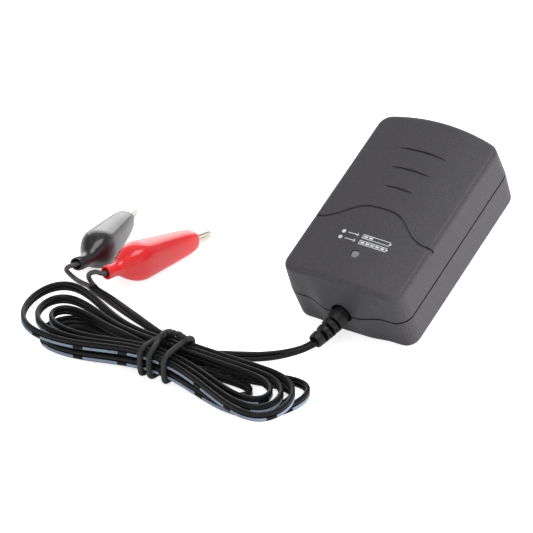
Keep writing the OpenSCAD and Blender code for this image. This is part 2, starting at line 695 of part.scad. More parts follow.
cord_start = to_floor(grommet_tip - 1.95 * grommet_heading(grommet_last));
cord_points = [
  cord_start, to_floor(grommet_tip),
  to_floor(grommet_tip + 1.4 * grommet_heading(grommet_last)), [-5.2, -24.9, 3.7], [-10.1, -28.3, 2.2],
  [-15.4, -32.6, 1.8], [-20.9, -36.5, 2.1], [-26, -41, 3],
  hank_point(0) - 7 * hank_heading(0) + [0, 1.1, -0.2],
  hank_point(0) - 3 * hank_heading(0) + [0, 0.2, 0], hank_point(0) - 0.2 * hank_heading(0)
];
cord_path = spline(cord_points, 3);
module output_cord() color("#1d1d20") on_floor() {
  last = len(cord_path) - 1;
  sweep(cord_path, [for (i = [0:last]) twin_section(90 * ease((i / last - 0.2) / 0.6))]);
}

// ---- cord tail: from the hank's last waist to the split ----

split = [-88.7, -23.9, 1.7];
split_heading = unit([-9, 4.6, 0]);
tail_points = [
  hank_point(hank_turns) + 0.2 * hank_heading(hank_turns),
  hank_point(hank_turns) + 3 * hank_heading(hank_turns) + [0, 0.2, 0],
  hank_point(hank_turns) + 7 * hank_heading(hank_turns) + [0, 0.9, 0],
  [-55, -41.7, 6.6], [-66.1, -35.8, 4.8], [-78, -29.3, 2.9],
  split - 3 * split_heading, split
];
tail_path = spline(tail_points, 3);
module cord_tail() color("#1d1d20") on_floor() {
  last = len(tail_path) - 1;
  sweep(tail_path, [for (i = [0:last]) twin_section(90 - 90 * ease((i / last - 0.3) / 0.6))]);
}

// ---- tie ----

// Three wraps round the waist, with the tie's ends twisted over each other on top.
tie_r = tie_d / 2;
tie_mid_v = 0.45;
tie_half_v = waist_half + (layer_turns - 0.25) * rank_gap + core_r + 0.45 + tie_r;
tie_low = tie_r;
tie_high = tie_room + cord_w + layer_gap + 0.35 + tie_r;
tie_mid = (tie_low + tie_high) / 2;
tie_half_z = (tie_high - tie_low) / 2;
wrap_u = [-4.6, -1.2, 4.4];
wrap_lean = [0, 0, -0.1];
function tie_ring(a) =
  let (c = cos(a), s = sin(a), n = 5.6,
       k = pow(pow(abs(c), n) + pow(abs(s), n), -1 / n))
  [tie_mid_v + tie_half_v * c * k, tie_mid + tie_half_z * s * k];
function tie_point(u, lean, a) =
  let (q = tie_ring(a)) hank_place([u + lean * q[0], q[0], q[1]]);
function tie_wrap(i, j, a0, a1, steps) = [
  for (k = [0:steps])
    let (t = k / steps, e = ease(t))
    tie_point(mix(wrap_u[i], wrap_u[j], e), mix(wrap_lean[i], wrap_lean[j], e), mix(a0, a1, t))
];
tie_over = tie_high + tie_d + 0.2;
tie_path = concat(
  [hank_place([5.2, 5.6, tie_over + 0.2]), hank_place([2.6, 6, tie_over + 0.3]),
   hank_place([-0.4, 5.6, tie_over + 0.1]), hank_place([-3.2, 3.8, tie_over - 1.2])],
  tie_wrap(0, 0, 112, 400, 18),
  tie_wrap(0, 1, 420, 500, 4),
  tie_wrap(1, 1, 518, 740, 14),
  tie_wrap(1, 2, 756, 850, 6),
  tie_wrap(2, 2, 868, 1110, 15)
);
module wire_tie() color("#26262a") on_floor() {
  sweep_free(tie_path, circle_points(6, tie_r));
}
// Sweep with a frame that follows the tie round the waist: one side of the section always
// points away from the middle of the waist.
module sweep_free(path, section) {
  n = len(path);
  m = len(section);
  middle = hank_place([0, 0, tie_mid]);
  points = [
    for (i = [0:n - 1])
      let (
        along = unit(path[min(i + 1, n - 1)] - path[max(i - 1, 0)]),
        out = path[i] - middle,
        side = unit(cross(along, out)),
        up = cross(side, along)
      )
      for (q = section) path[i] + q[0] * side + q[1] * up
  ];
  polyhedron(points, concat(skin_faces(n, m), cap_faces(n, m)));
}

// ---- alligator clips ----

// A clip is drawn along x: the boot's tail at 0, the jaws closed on z = 0.
crimp_x = 6;
nose_x = crimp_x + clip_len;
pivot_x = 21;
pivot_z = 0.5;
rivet_r = rivet_d / 2;
boot_shape = [
  [0, 2.4, 2.4], [1.2, 2.45, 2.45], [4, 2.35, 2.35], [6, 2.75, 2.85], [8, 3.75, 4.1],
  [10, 4.75, 5.15], [12.3, 5.5, 6], [15.3, 5.9, 6.4], [19.2, 5.7, 6], [23.6, 5.3, 5.5],
  [30.4, 4.65, 4.8], [37, 3.9, 4.05], [39.8, 3.45, 3.5], [41, 3.1, 3.1], [41.4, 2.95, 2.95]
];
crimp_r = core_r + sheet;
jaw_h = [[crimp_x, crimp_r + 0.025], [8, crimp_r + 0.075], [10.5, 3.5], [14, 4.2], [18, 4.3], [22, 4.1],
  [24, 3.9], [28, 3.4], [34, 2.8], [41, 2], [nose_x - 1, 1.6], [nose_x, 1.1]];
fixed_w = [[crimp_x, crimp_r + 0.025], [8, crimp_r + 0.075], [10.5, 3], [17, 3.9], [24, 3.9], [28, 3.2],
  [34, 2.6], [41, 1.9], [nose_x, 1.5]];
moving_w = [[10.5, 2.5], [18, 3.1], [24, 3.1], [28, 3.1], [34, 2.6], [41, 1.9],
  [nose_x, 1.5]];
clip_pitch = 4.7;
// The boot's belly stands on the floor, and the stiff lead holds the nose a little off it.
clip_lift = max([for (q = boot_shape) q[0] * sin(clip_pitch) + q[2] * cos(clip_pitch)]);
red_tail = [-84.3, -22.4];
red_heading = 80;
black_tail = [-94, -22.1];
black_heading = 105.3;
// Sideways bend of the black boot's tail, which the lead pulls over.
black_bend = 2.3;
function bend_at(bend, x) = bend * pow(max(1 - x / 7, 0), 2);
module place_clip(tail, heading) on_floor()
  translate([tail[0], tail[1], clip_lift]) rotate([0, 0, heading])
    rotate([0, clip_pitch, 0]) children();
function from_clip(tail, heading, p) =
  let (x = p[0] * cos(clip_pitch) + p[2] * sin(clip_pitch),
       z = -p[0] * sin(clip_pitch) + p[2] * cos(clip_pitch))
  [tail[0] + x * cos(heading) - p[1] * sin(heading),
   tail[1] + x * sin(heading) + p[1] * cos(heading), z + clip_lift];

// U-shaped sheet section with a rounded back: w is its half width, h its height over the
// meeting plane, and deep how far its sides run past that plane.
function channel(w, h, deep) =
  let (r = min(1.4, 0.5 * h, 0.6 * w), t = sheet, ri = max(r - t, 0.15))
  concat(
    [[w, -deep]],
    [for (k = [0:3]) let (a = 30 * k) [w - r + r * cos(a), h - r + r * sin(a)]],
    [for (k = [3:6]) let (a = 30 * k) [-w + r + r * cos(a), h - r + r * sin(a)]],
    [[-w, -deep], [-w + t, -deep]],
    [for (k = [6:-1:3]) let (a = 30 * k)
      [-w + t + ri + ri * cos(a), h - t - ri + ri * sin(a)]],
    [for (k = [3:-1:0]) let (a = 30 * k)
      [w - t - ri + ri * cos(a), h - t - ri + ri * sin(a)]],
    [[w - t, -deep]]
  );
// Pressed channel along x with a closed nose end cut square.
module pressed_channel(first, widths, deep) {
  stations = concat([first], [for (q = jaw_h) if (q[0] > first + 0.1) q[0]]);
  n = len(stations);
  rings = [for (x = stations)
    [for (q = channel(lookup(x, widths), lookup(x, jaw_h), deep)) [x, q[0], q[1]]]];
  m = len(rings[0]);
  walls = [for (f = skin_faces(n, m)) [f[2], f[1], f[0]]];
  caps = [for (f = channel_caps(m / 2, 0)) f];
  ends = [for (f = channel_caps(m / 2, (n - 1) * m)) [f[2], f[1], f[0]]];
  polyhedron([for (r = rings) each r], concat(walls, caps, ends));
}
// End of a channel: strips between its outer and its inner line.
function channel_caps(half, first) = [
  for (k = [0:half - 2])
    let (a = first + k, b = first + k + 1,
         c = first + 2 * half - 2 - k, d = first + 2 * half - 1 - k)
    each [[a, b, c], [a, c, d]]
];

teeth = 8;
teeth_x0 = 29;
teeth_pitch = (nose_x - 1.5 - teeth_x0) / teeth;
// Toothed line between the jaws, moved up by shift.
function tooth_line(shift) = concat(
  [[teeth_x0, shift]],
  [for (k = [0:teeth - 1]) each [
    [teeth_x0 + (k + 0.5) * teeth_pitch, 0.55 + shift],
    [teeth_x0 + (k + 1) * teeth_pitch, shift]]],
  [[nose_x + 1, shift]]
);
jaw_gap = 0.12;
module side_mask(points) rotate([90, 0, 0]) translate([0, 0, -8]) linear_extrude(16)
  polygon(points);
module across(x, z, r, half) translate([x, 0, z]) rotate([90, 0, 0])
  cylinder(r = r, h = 2 * half, center = true, $fn = fine);

module moving_jaw() difference() {
  intersection() {
    pressed_channel(10.5, moving_w, 2.4);
    union() {
      side_mask(concat([[10, 2.7], [16.5, 2.7], [18.5, 0.2], [26, 0.2]],
        tooth_line(jaw_gap), [[nose_x + 1, 9], [10, 9]]));
      across(pivot_x, pivot_z, 2.4, 8);
    }
  }
  across(pivot_x, pivot_z, rivet_r + 0.05, 8);
}
module fixed_jaw() difference() {
  intersection() {
    mirror([0, 0, 1]) pressed_channel(crimp_x, fixed_w, 3.6);
    union() {
      side_mask(concat([[crimp_x - 1, -9], [crimp_x - 1, 0.8], [8.2, 0.8], [9.6, -2],
        [17, -2], [18.2, -0.2], [26, -0.2]], tooth_line(-jaw_gap), [[nose_x + 1, -9]]));
      across(pivot_x, pivot_z, 2.9, 8);
    }
  }
  across(pivot_x, pivot_z, rivet_r + 0.02, 8);
}
module rivet() {
  reach = lookup(pivot_x, fixed_w);
  across(pivot_x, pivot_z, rivet_r, reach + 0.3);
  for (side = [-1, 1]) translate([pivot_x, side * (reach + 0.25), pivot_z])
    rotate([90, 0, 0]) cylinder(r = rivet_r + 0.7, h = 0.45, center = true, $fn = fine);
}
spring_wire = 0.6;
coil_r = 1.65;
coil_turns = 3;
module spring() {
  coil_steps = 12;
  half_len = coil_turns * 0.72 / 2;
  turn = coil_turns * 360 - 140;
  path = concat(
    [[12.6, -half_len, 3.1], [16.5, -half_len, 2.7]],
    [for (k = [0:coil_turns * coil_steps + 1])
      let (a = 110 - turn * k / (coil_turns * coil_steps + 1))
      [pivot_x + coil_r * cos(a), mix(-half_len, half_len, k / (coil_turns * coil_steps + 1)),
       pivot_z + coil_r * sin(a)]],
    [[16.5, half_len, -1.7], [12.6, half_len, -3.1]]
  );
  sweep_axle(path, circle_points(6, spring_wire / 2));
}
// Sweep with a frame that keeps one side of the section along the rivet.
module sweep_axle(path, section) {
  n = len(path);
  m = len(section);
  points = [
    for (i = [0:n - 1])
      let (
        along = unit(path[min(i + 1, n - 1)] - path[max(i - 1, 0)]),
        side = unit([0, 1, 0] - along * along[1]),
        up = cross(side, along)
      )
      for (q = section) path[i] + q[0] * side + q[1] * up
  ];
  polyhedron(points, concat(skin_faces(n, m), cap_faces(n, m)));
}

// Boot section: a rounded box that is round at the tail.
boot_sides = 20;
function boot_ring(q, inset, bend) =
  let (n = 2 + 0.8 * ease((q[0] - 5) / 6))
  [for (k = [0:boot_sides - 1])
    let (a = 360 * k / boot_sides, c = cos(a), s = sin(a),
         f = pow(pow(abs(c), n) + pow(abs(s), n), -1 / n))
    [q[0], (q[1] - inset) * c * f + bend_at(bend, q[0]), (q[2] - inset) * s * f]];
module boot(bend) {
  n = len(boot_shape);
  outer = [for (q = boot_shape) boot_ring(q, 0, bend)];
  inner = [for (k = [n - 1:-1:0]) boot_ring(boot_shape[k], boot_wall, bend)];
  points = [for (r = concat(outer, inner)) each r];
  m = boot_sides;
  rings = 2 * n;
  faces = [
    for (i = [0:rings - 1], k = [0:m - 1])
      let (a = i * m + k, b = i * m + (k + 1) % m,
           c = ((i + 1) % rings) * m + (k + 1) % m, d = ((i + 1) % rings) * m + k)
      each [[c, b, a], [d, c, a]]
  ];
  polyhedron(points, faces);
}

module clip_lead(path) sweep(path, [for (p = path) circle_points(8, core_r)]);
function lead_start(side) =
  split + 0.1 * split_heading + side * (core_r + 0.06) * unit(cross(split_heading, [0, 0, 1]));
function lead_route(tail, heading, side, bend, middle) = spline(concat(
  [lead_start(side), lead_start(side) + 2.5 * split_heading],
  middle,
  [for (x = [-1.6, 1, 4, crimp_x, crimp_x + 3.2]) from_clip(tail, heading, [x, bend_at(bend, x), 0])]
), 3);
red_path = lead_route(red_tail, red_heading, 1, 0,
  [[-91, -22.4, 3.1], [-91.5, -22.9, 4.6], [-90.6, -23.4, 6], [-88.9, -23.2, 7.1],
   [-87.3, -22.8, 7.6]]);
black_path = lead_route(black_tail, black_heading, -1, black_bend,
  [[-92.7, -23.5, 1.5], [-95.8, -23.1, 2.9], [-98.2, -23.4, 4.6], [-98.9, -24.2, 6.3],
   [-98.1, -25, 7.6]]);

clip_red = "#d9202a";
clip_black = "#151517";
plate = "#cfc9bb";
module red_lead() color("#26262a") on_floor() clip_lead(red_path);
module black_lead() color("#26262a") on_floor() clip_lead(black_path);
module red_clip_fixed_jaw() color(plate) place_clip(red_tail, red_heading) fixed_jaw();
module red_clip_moving_jaw() color(plate) place_clip(red_tail, red_heading) moving_jaw();
module red_clip_rivet() color(plate) place_clip(red_tail, red_heading) rivet();
module red_clip_spring() color(plate) place_clip(red_tail, red_heading) spring();
module red_clip_boot() color(clip_red) place_clip(red_tail, red_heading) boot(0);
module black_clip_fixed_jaw() color(plate) place_clip(black_tail, black_heading) fixed_jaw();
module black_clip_moving_jaw() color(plate) place_clip(black_tail, black_heading) moving_jaw();
module black_clip_rivet() color(plate) place_clip(black_tail, black_heading) rivet();
module black_clip_spring() color(plate) place_clip(black_tail, black_heading) spring();
module black_clip_boot() color(clip_black) place_clip(black_tail, black_heading) boot(black_bend);

front_shell();
rear_shell();
blade_left();
blade_right();
blade_clamp();
circuit_board();
fuse();
choke_core();
choke_winding();
line_capacitor();
bridge_rectifier();
mains_capacitor();
transformer_core();
transformer_bobbin();
transformer_winding();
switching_chip();
heat_sink();
output_diode();
optocoupler();
safety_capacitor();
output_capacitors();
output_inductor();
charge_chip();
resistors();
led();
led_spacer();
inner_wires();
strain_relief();
output_cord();
cord_hank();
cord_tail();
wire_tie();
red_lead();
red_clip_fixed_jaw();
red_clip_moving_jaw();
red_clip_rivet();
red_clip_spring();
red_clip_boot();
black_lead();
black_clip_fixed_jaw();
black_clip_moving_jaw();
black_clip_rivet();
black_clip_spring();
black_clip_boot();
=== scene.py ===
"""Looks of a plug-in car battery charger: cord, hank, tie, boots, finishes and stage.

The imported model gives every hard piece. This file makes the soft pieces in their place,
gives each piece its finish, and sets up a plain white studio round them.
"""

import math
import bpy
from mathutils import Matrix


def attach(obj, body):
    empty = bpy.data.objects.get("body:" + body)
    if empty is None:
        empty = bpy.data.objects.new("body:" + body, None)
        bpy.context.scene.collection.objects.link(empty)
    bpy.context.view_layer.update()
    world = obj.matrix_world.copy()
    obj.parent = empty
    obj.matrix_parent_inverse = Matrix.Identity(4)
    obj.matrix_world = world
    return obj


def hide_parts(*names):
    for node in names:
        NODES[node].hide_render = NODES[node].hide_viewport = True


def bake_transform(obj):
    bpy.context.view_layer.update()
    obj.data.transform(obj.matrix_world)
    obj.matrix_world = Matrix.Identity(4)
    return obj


bl_info = {"name": "Battery Charger Studio", "version": (1, 0, 0), "blender": (4, 5, 0),
    "location": "3D View > Sidebar > Charger",
    "description": "Makes the soft pieces, finishes and stage of a plug-in battery charger",
    "category": "Object"}

import bpy
import numpy as np
from mathutils import Matrix

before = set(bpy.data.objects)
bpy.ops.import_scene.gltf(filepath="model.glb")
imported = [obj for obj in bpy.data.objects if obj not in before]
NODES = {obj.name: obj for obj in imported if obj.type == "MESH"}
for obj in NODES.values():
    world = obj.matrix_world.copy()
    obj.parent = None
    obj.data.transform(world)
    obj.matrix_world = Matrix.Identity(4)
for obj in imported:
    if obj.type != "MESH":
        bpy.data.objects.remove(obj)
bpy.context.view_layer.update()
MM = 0.001


# ---- colours and materials ----


def linear(code):
    """The sRGB colour #rrggbb as linear red, green and blue: each channel c is c / 12.92
    below 0.04045, and otherwise ((c + 0.055) / 1.055) to the power 2.4."""
    c = np.array([int(code[k : k + 2], 16) for k in (1, 3, 5)]) / 255
    return tuple(np.where(c < 0.04045, c / 12.92, ((c + 0.055) / 1.055) ** 2.4).tolist())


def toned(colour, share):
    """A colour times a share and held to 1, with full alpha."""
    return (*[min(c * share, 1) for c in colour], 1)


def add(tree, kind, inputs=None, **settings):
    """Adds a node to a tree. settings are the node's own properties, and inputs gives each
    named or numbered socket a constant, or the output socket that feeds it, or the node
    whose first output does."""
    made = tree.nodes.new(kind)
    for key, value in settings.items():
        setattr(made, key, value)
    for key, value in (inputs or {}).items():
        if isinstance(value, bpy.types.Node):
            value = value.outputs[0]
        if isinstance(value, bpy.types.NodeSocket):
            tree.links.new(value, made.inputs[key])
        else:
            made.inputs[key].default_value = value
    return made


def start_material(name):
    """A new empty material with its tree, and the object coordinates that patterns read."""
    material = bpy.data.materials.new(name)
    material.use_nodes = True
    tree = material.node_tree
    tree.nodes.clear()
    place = add(tree, "ShaderNodeTexCoord").outputs["Object"]
    return material, tree, place


def end_material(tree, inputs):
    """Closes a tree with a Principled shader that has these inputs."""
    shader = add(tree, "ShaderNodeBsdfPrincipled", inputs)
    add(tree, "ShaderNodeOutputMaterial", {"Surface": shader})


# The range in which most of a noise's values lie.
SPAN = {"From Min": 0.3, "From Max": 0.7}


def plain_finish(name, light, dark, patch, grain, depth, roughness, **constants):
    """A finish whose colour drifts between two tones in patches, with a fine grain.

    patch and grain are the sizes in millimetres of the colour patches and of the grain, and
    depth is how far the grain stands up. The same patches turn the roughness up and down by
    0.06. constants are set on the shader's sockets."""
    material, tree, place = start_material(name)
    patches = add(tree, "ShaderNodeTexNoise",
        {"Vector": place, "Scale": 1000 / patch, "Detail": 3.0, "Roughness": 0.55})
    tone = add(tree, "ShaderNodeMix", {0: patches, 6: (*dark, 1), 7: (*light, 1)},
        data_type="RGBA")
    sheen = add(tree, "ShaderNodeMapRange", {"Value": patches, **SPAN,
        "To Min": roughness - 0.06, "To Max": roughness + 0.06})
    grit = add(tree, "ShaderNodeTexNoise", {"Vector": place, "Scale": 1000 / grain,
        "Detail": 2.0})
    bump = add(tree, "ShaderNodeBump", {"Distance": depth * MM, "Height": grit})
    end_material(tree, {"Base Color": tone.outputs[2], "Roughness": sheen,
        "Normal": bump, **constants})
    return material


# ---- shapes as whole arrays, in millimetres ----


def unit(v):
    """Each vector over its own length."""
    return v / np.linalg.norm(v, axis=-1, keepdims=True)


def ease(t):
    """Smooth step: with c = t held to 0..1, c squared times (3 - 2 c)."""
    c = np.clip(t, 0, 1)
    return c * c * (3 - 2 * c)


def swell(t):
    """Raised cosine: (1 + cos(180 t)) / 2 inside -1..1, and nothing outside."""
    return np.where(np.abs(t) < 1, (1 + np.cos(np.pi * t)) / 2, 0)


def spline(points, steps):
    """Smooth curve through points, with steps places from each point to the next.

    Between b and c, with a before and d after, the place at t is half of 2b + (c - a) t
    + (2a - 5b + 4c - d) t squared + (3b - a - 3c + d) t cubed. Ends stand for themselves."""
    p = np.asarray(points, float)
    last = len(p) - 1
    k = np.arange(last)
    a, b = p[np.maximum(k - 1, 0), None], p[:-1, None]
    c, d = p[1:, None], p[np.minimum(k + 2, last), None]
    t = (np.arange(steps) / steps)[None, :, None]
    curve = 0.5 * (2 * b + (c - a) * t + (2 * a - 5 * b + 4 * c - d) * t**2 +
        (3 * b - a - 3 * c + d) * t**3)
    return np.vstack([curve.reshape(-1, p.shape[1]), p[-1:]])


def along_path(path):
    """Distance run at each point of a path: the sum of the chords before it."""
    chords = np.linalg.norm(np.diff(path, axis=0), axis=1)
    return np.concatenate([[0], np.cumsum(chords)])


def evened(path, gap, *extras):
    """The path, and any numbers that go with its points, at equal distances of about gap."""
    run = along_path(path)
    even = np.linspace(0, run[-1], max(int(round(run[-1] / gap)), 4) + 1)
    columns = [np.interp(even, run, path[:, k]) for k in range(path.shape[1])]
    return [np.stack(columns, 1)] + [np.interp(even, run, e) for e in extras]


def headings(path):
    """Unit direction at each point: from the point before it to the point after it."""
    last = len(path) - 1
    k = np.arange(last + 1)
    return unit(path[np.minimum(k + 1, last)] - path[np.maximum(k - 1, 0)])


def carried(path, section, side):
    """Rings of a profile carried along a path: point + s * side + u * up, where section
    holds s and u and up is side crossed with the heading."""
    up = np.cross(side, headings(path))
    return path[:, None] + section[..., :1] * side[:, None] + section[..., 1:] * up[:, None]


def level_sides(path):
    """Sideways direction at each point: heading crossed with the vertical."""
    return unit(np.cross(headings(path), [0.0, 0.0, 1.0]))


def round_section(count, radius):
    """count places on a circle, with the radius given for each ring."""
    a = 2 * np.pi * np.arange(count) / count
    circle = np.stack([np.cos(a), np.sin(a)], 1)
    return np.asarray(radius, float).reshape(-1, 1, 1) * circle[None]


def skin(rings, joined=False):
    """Points, four-sided faces and three-sided faces of the surface through rings.

    Ring i and ring i + 1 are joined by one row of faces. Where joined, the last ring meets
    the first one. Otherwise a fan to a point in the middle closes each end."""
    n, m = rings.shape[:2]
    grid = np.arange(n * m).reshape(n, m)
    here = grid if joined else grid[:-1]
    ahead = np.roll(grid, -1, 0) if joined else grid[1:]
    quads = np.stack([here, np.roll(here, -1, 1), np.roll(ahead, -1, 1), ahead],
        -1).reshape(-1, 4)
    points = rings.reshape(-1, 3)
    if joined:
        return points, quads, np.zeros((0, 3), int)
    points = np.vstack([points, rings[0].mean(0), rings[-1].mean(0)])
    first = np.stack([np.roll(grid[0], -1), grid[0], np.full(m, n * m)], -1)
    final = np.stack([grid[-1], np.roll(grid[-1], -1), np.full(m, n * m + 1)], -1)
    return points, quads, np.vstack([first, final])


def lengthwise(rings, run):
    """Pattern places of a skin's corners: the distance run in metres, and the share of the
    way round, for its four-sided and then its three-sided faces."""
    m = rings.shape[1]
    v = np.arange(m + 1) / m
    u = run * MM
    grid = np.stack(np.meshgrid(u, v, indexing="ij"), -1)
    quads = np.stack([grid[:-1, :-1], grid[:-1, 1:], grid[1:, 1:], grid[1:, :-1]], 2)
    ends = np.zeros((2 * m, 3, 2))
    ends[:m, :, 0] = u[0]
    ends[m:, :, 0] = u[-1]
    return np.vstack([quads.reshape(-1, 2), ends.reshape(-1, 2)])


def joined_skins(*skins):
    """Several skins as the parts of one mesh."""
    starts = np.cumsum([0] + [len(s[0]) for s in skins[:-1]])
    return (np.vstack([s[0] for s in skins]),
        np.vstack([s[1] + k for s, k in zip(skins, starts)]),
        np.vstack([s[2] + k for s, k in zip(skins, starts)]))


def turned_in(points, quads, tris):
    """Whether the faces point inwards: the sum over all triangles of their corners' triple
    product, which is six times the enclosed volume, is then below zero."""
    split = np.vstack([quads[:, [0, 1, 2]], quads[:, [0, 2, 3]], tris])
    a, b, c = (points[split[:, k]] for k in range(3))
    return np.einsum("ij,ij->i", a, np.cross(b, c)).sum() < 0


def make_piece(name, shape, material, places=None):
    """A smooth-shaded mesh object from points, four-sided and three-sided faces, at the
    origin, with its pattern places as a UV map if they are given."""
    points, quads, tris = shape
    corners = np.concatenate([quads.ravel(), tris.ravel()])
    order = np.arange(len(corners))
    if turned_in(points, quads, tris):
        cut = quads.size
        order = np.concatenate([order[:cut].reshape(-1, 4)[:, ::-1].ravel(),
            order[cut:].reshape(-1, 3)[:, ::-1].ravel()])
    starts = np.concatenate([np.arange(len(quads)) * 4,
        quads.size + np.arange(len(tris)) * 3])
    mesh = bpy.data.meshes.new(name)
    mesh.vertices.add(len(points))
    mesh.vertices.foreach_set("co", (points * MM).ravel())
    mesh.loops.add(len(corners))
    mesh.loops.foreach_set("vertex_index", corners[order].astype(np.int32))
    mesh.polygons.add(len(starts))
    mesh.polygons.foreach_set("loop_start", starts.astype(np.int32))
    mesh.update(calc_edges=True)
    if places is not None:
        layer = mesh.uv_layers.new(name="Lengthwise")
        layer.uv.foreach_set("vector", places[order].ravel())
    mesh.validate()
    mesh.shade_smooth()
    mesh.materials.append(material)
    made = bpy.data.objects.new(name, mesh)
    bpy.context.scene.collection.objects.link(made)
    return made


# ---- where things lie ----

# The housing is drawn flat, tipped onto its blades by this turn and lift, and then moved
# back so that the origin lies under its middle.
REST_TILT = math.radians(24.8765)
REST_LIFT = -0.573048
ORIGIN_Y = 27.4048
HALF_WIDTH = 23.4
FACE_HEIGHT = 25.1
CROWN = 1.7
JOINT_HEIGHT = 13.5


def propped(p):
    """Places of the flat housing turned by its rest tilt about x, lifted and moved back."""
    p = np.asarray(p, float)
    c, s = math.cos(REST_TILT), math.sin(REST_TILT)
    x, y, z = p[..., 0], p[..., 1], p[..., 2]
    return np.stack([x, y * c - z * s - ORIGIN_Y, y * s + z * c + REST_LIFT], -1)


def on_floor(p):
    """Places of things that lie on the floor, moved back with the housing."""
    return np.asarray(p, float) - [0, ORIGIN_Y, 0]


# Core of the twin lead, and the hank's six turns: for each half turn the reach of its end,
# how far it swells and how far it leans.
CORE = 0.825
TURNS = 6
HANK_AT = (-38.0, -54.5)
HANK_YAW = math.radians(-1)
WAIST_HALF = 0.55
RANK_GAP = 2.12
LAYER_GAP = 3.9
TIE_ROOM = 2.15
CLIMB = 0.16
HANK_TIPS = np.array([
    [47.2, 18, 0.3], [49.4, 24, 6.5], [43.9, 16, 1.5], [46.2, 21.5, 4.5],
    [40.5, 14.6, 2.8], [33.2, 21, 1.5], [46.9, 15.4, 4.3], [43, 17.5, -5],
    [52.9, 18.5, 5.4], [47.2, 19.5, -5.8], [59, 21.5, 6.4], [51.4, 21, -6]])


def in_hank(p):
    """Places given along, across and above the hank's waist, turned and moved to it."""
    p = np.asarray(p, float)
    c, s = math.cos(HANK_YAW), math.sin(HANK_YAW)
    u, v, z = p[..., 0], p[..., 1], p[..., 2]
    return np.stack([HANK_AT[0] + u * c - v * s, HANK_AT[1] + u * s + v * c, z], -1)


def hank_place(turn):
    """Place of the lead after some number of turns of the hank.

    With a = 90 + 360 turn, the run along the waist is cos(a) times the reach of that half
    turn's end. The run across is sin(a) times the waist's half width plus one rank for each
    turn from the middle one plus the swelling, which grows with the square of the run along,
    and a lean that grows with its cube. The waist is lifted to leave room for the tie, and
    the last three turns lie a layer higher."""
    turn = np.asarray(turn, float)
    a = np.pi / 2 + 2 * np.pi * turn
    half = np.clip(np.floor(2 * turn + 1e-6).astype(int), 0, len(HANK_TIPS) - 1)
    reach, swelling, lean = HANK_TIPS[half].T
    u = np.cos(a) * reach
    rank = np.abs(turn - TURNS / 2)
    v = np.sin(a) * (WAIST_HALF + rank * RANK_GAP + swelling * (u / 50) ** 2)
    v = v + lean * (np.abs(u) / 50) ** 3
    layer = ease((turn - TURNS / 2) / CLIMB + 0.5)
    z = 2 * CORE + TIE_ROOM * swell(u / 34) + layer * LAYER_GAP
    return in_hank(np.stack([u, v, z], -1))


def hank_way(turn):
    """Unit direction of the lead at some number of turns of the hank."""
    return unit(hank_place(turn + 0.01) - hank_place(turn - 0.01))


# The strain relief's tip, and the way it points, in the flat housing.
RELIEF_TIP = np.array([-2.1, -16.0, 14.2])
RELIEF_WAY = unit(np.array([-0.17527, -0.978563, 0.108143]))
SPLIT = np.array([-88.7, -23.9, 1.7])
SPLIT_WAY = unit(np.array([-9.0, 4.6, 0.0]))


def twin_route():
    """Middle of the twin lead from inside the strain relief, through the six turns of the
    hank, to the split, and the lead's roll in radians at each point.

    The lead leaves the housing lying flat, rolls onto its edge before the hank, stands on
    edge in all its turns and rolls flat again on its way to the split."""
    tip, way = RELIEF_TIP, RELIEF_WAY
    start, in_way = hank_place(0.0), hank_way(0.0)
    end, out_way = hank_place(float(TURNS)), hank_way(float(TURNS))
    shift = np.array([0, ORIGIN_Y, 0])
    leaving = spline([
        propped(tip - 1.95 * way) + shift, propped(tip) + shift,
        propped(tip + 1.4 * way) + shift, [-5.2, -24.9, 3.7], [-10.1, -28.3, 2.2],
        [-15.4, -32.6, 1.8], [-20.9, -36.5, 2.1], [-26, -41, 3],
        start - 7 * in_way + [0, 1.1, -0.2], start - 3 * in_way + [0, 0.2, 0],
        start - 0.2 * in_way], 24)
    turns = hank_place(np.linspace(0, TURNS, TURNS * 900 + 1))
    going = spline([
        end + 0.2 * out_way, end + 3 * out_way + [0, 0.2, 0],
        end + 7 * out_way + [0, 0.9, 0], [-55, -41.7, 6.6], [-66.1, -35.8, 4.8],
        [-78, -29.3, 2.9], SPLIT - 3 * SPLIT_WAY, SPLIT], 24)
    first = np.linspace(0, 1, len(leaving))
    final = np.linspace(0, 1, len(going))
    roll = np.concatenate([ease((first - 0.2) / 0.6), np.ones(len(turns)),
        1 - ease((final - 0.3) / 0.6)])
    return on_floor(np.vstack([leaving, turns, going])), roll * np.pi / 2


# Clips: the pitch and height at which belly and nose lie.
CLIP_PITCH = math.radians(4.7)
CLIP_LIFT = 7.63214
# For each clip: where its boot's tail stands, which way it points, how far its lead pulls
# the tail sideways, its side of the split and the points that its lead passes.
CLIPS = {
    "red": {"tail": (-84.3, -22.4), "heading": math.radians(80), "bend": 0.0, "side": 1,
        "middle": [[-91, -22.4, 3.1], [-91.5, -22.9, 4.6], [-90.6, -23.4, 6],
            [-88.9, -23.2, 7.1], [-87.3, -22.8, 7.6]]},
    "black": {"tail": (-94.0, -22.1), "heading": math.radians(105.3), "bend": 2.3, "side": -1,
        "middle": [[-94.3, -23.4, 1.6], [-97.2, -23.8, 3.2], [-98.5, -25.1, 5.4],
            [-98.3, -26.1, 7.3]]}}


def tail_bend(bend, x):
    """Sideways pull of the boot's tail: bend times the square of 1 - x / 7, out to 7."""
    return bend * np.maximum(1 - x / 7, 0) ** 2


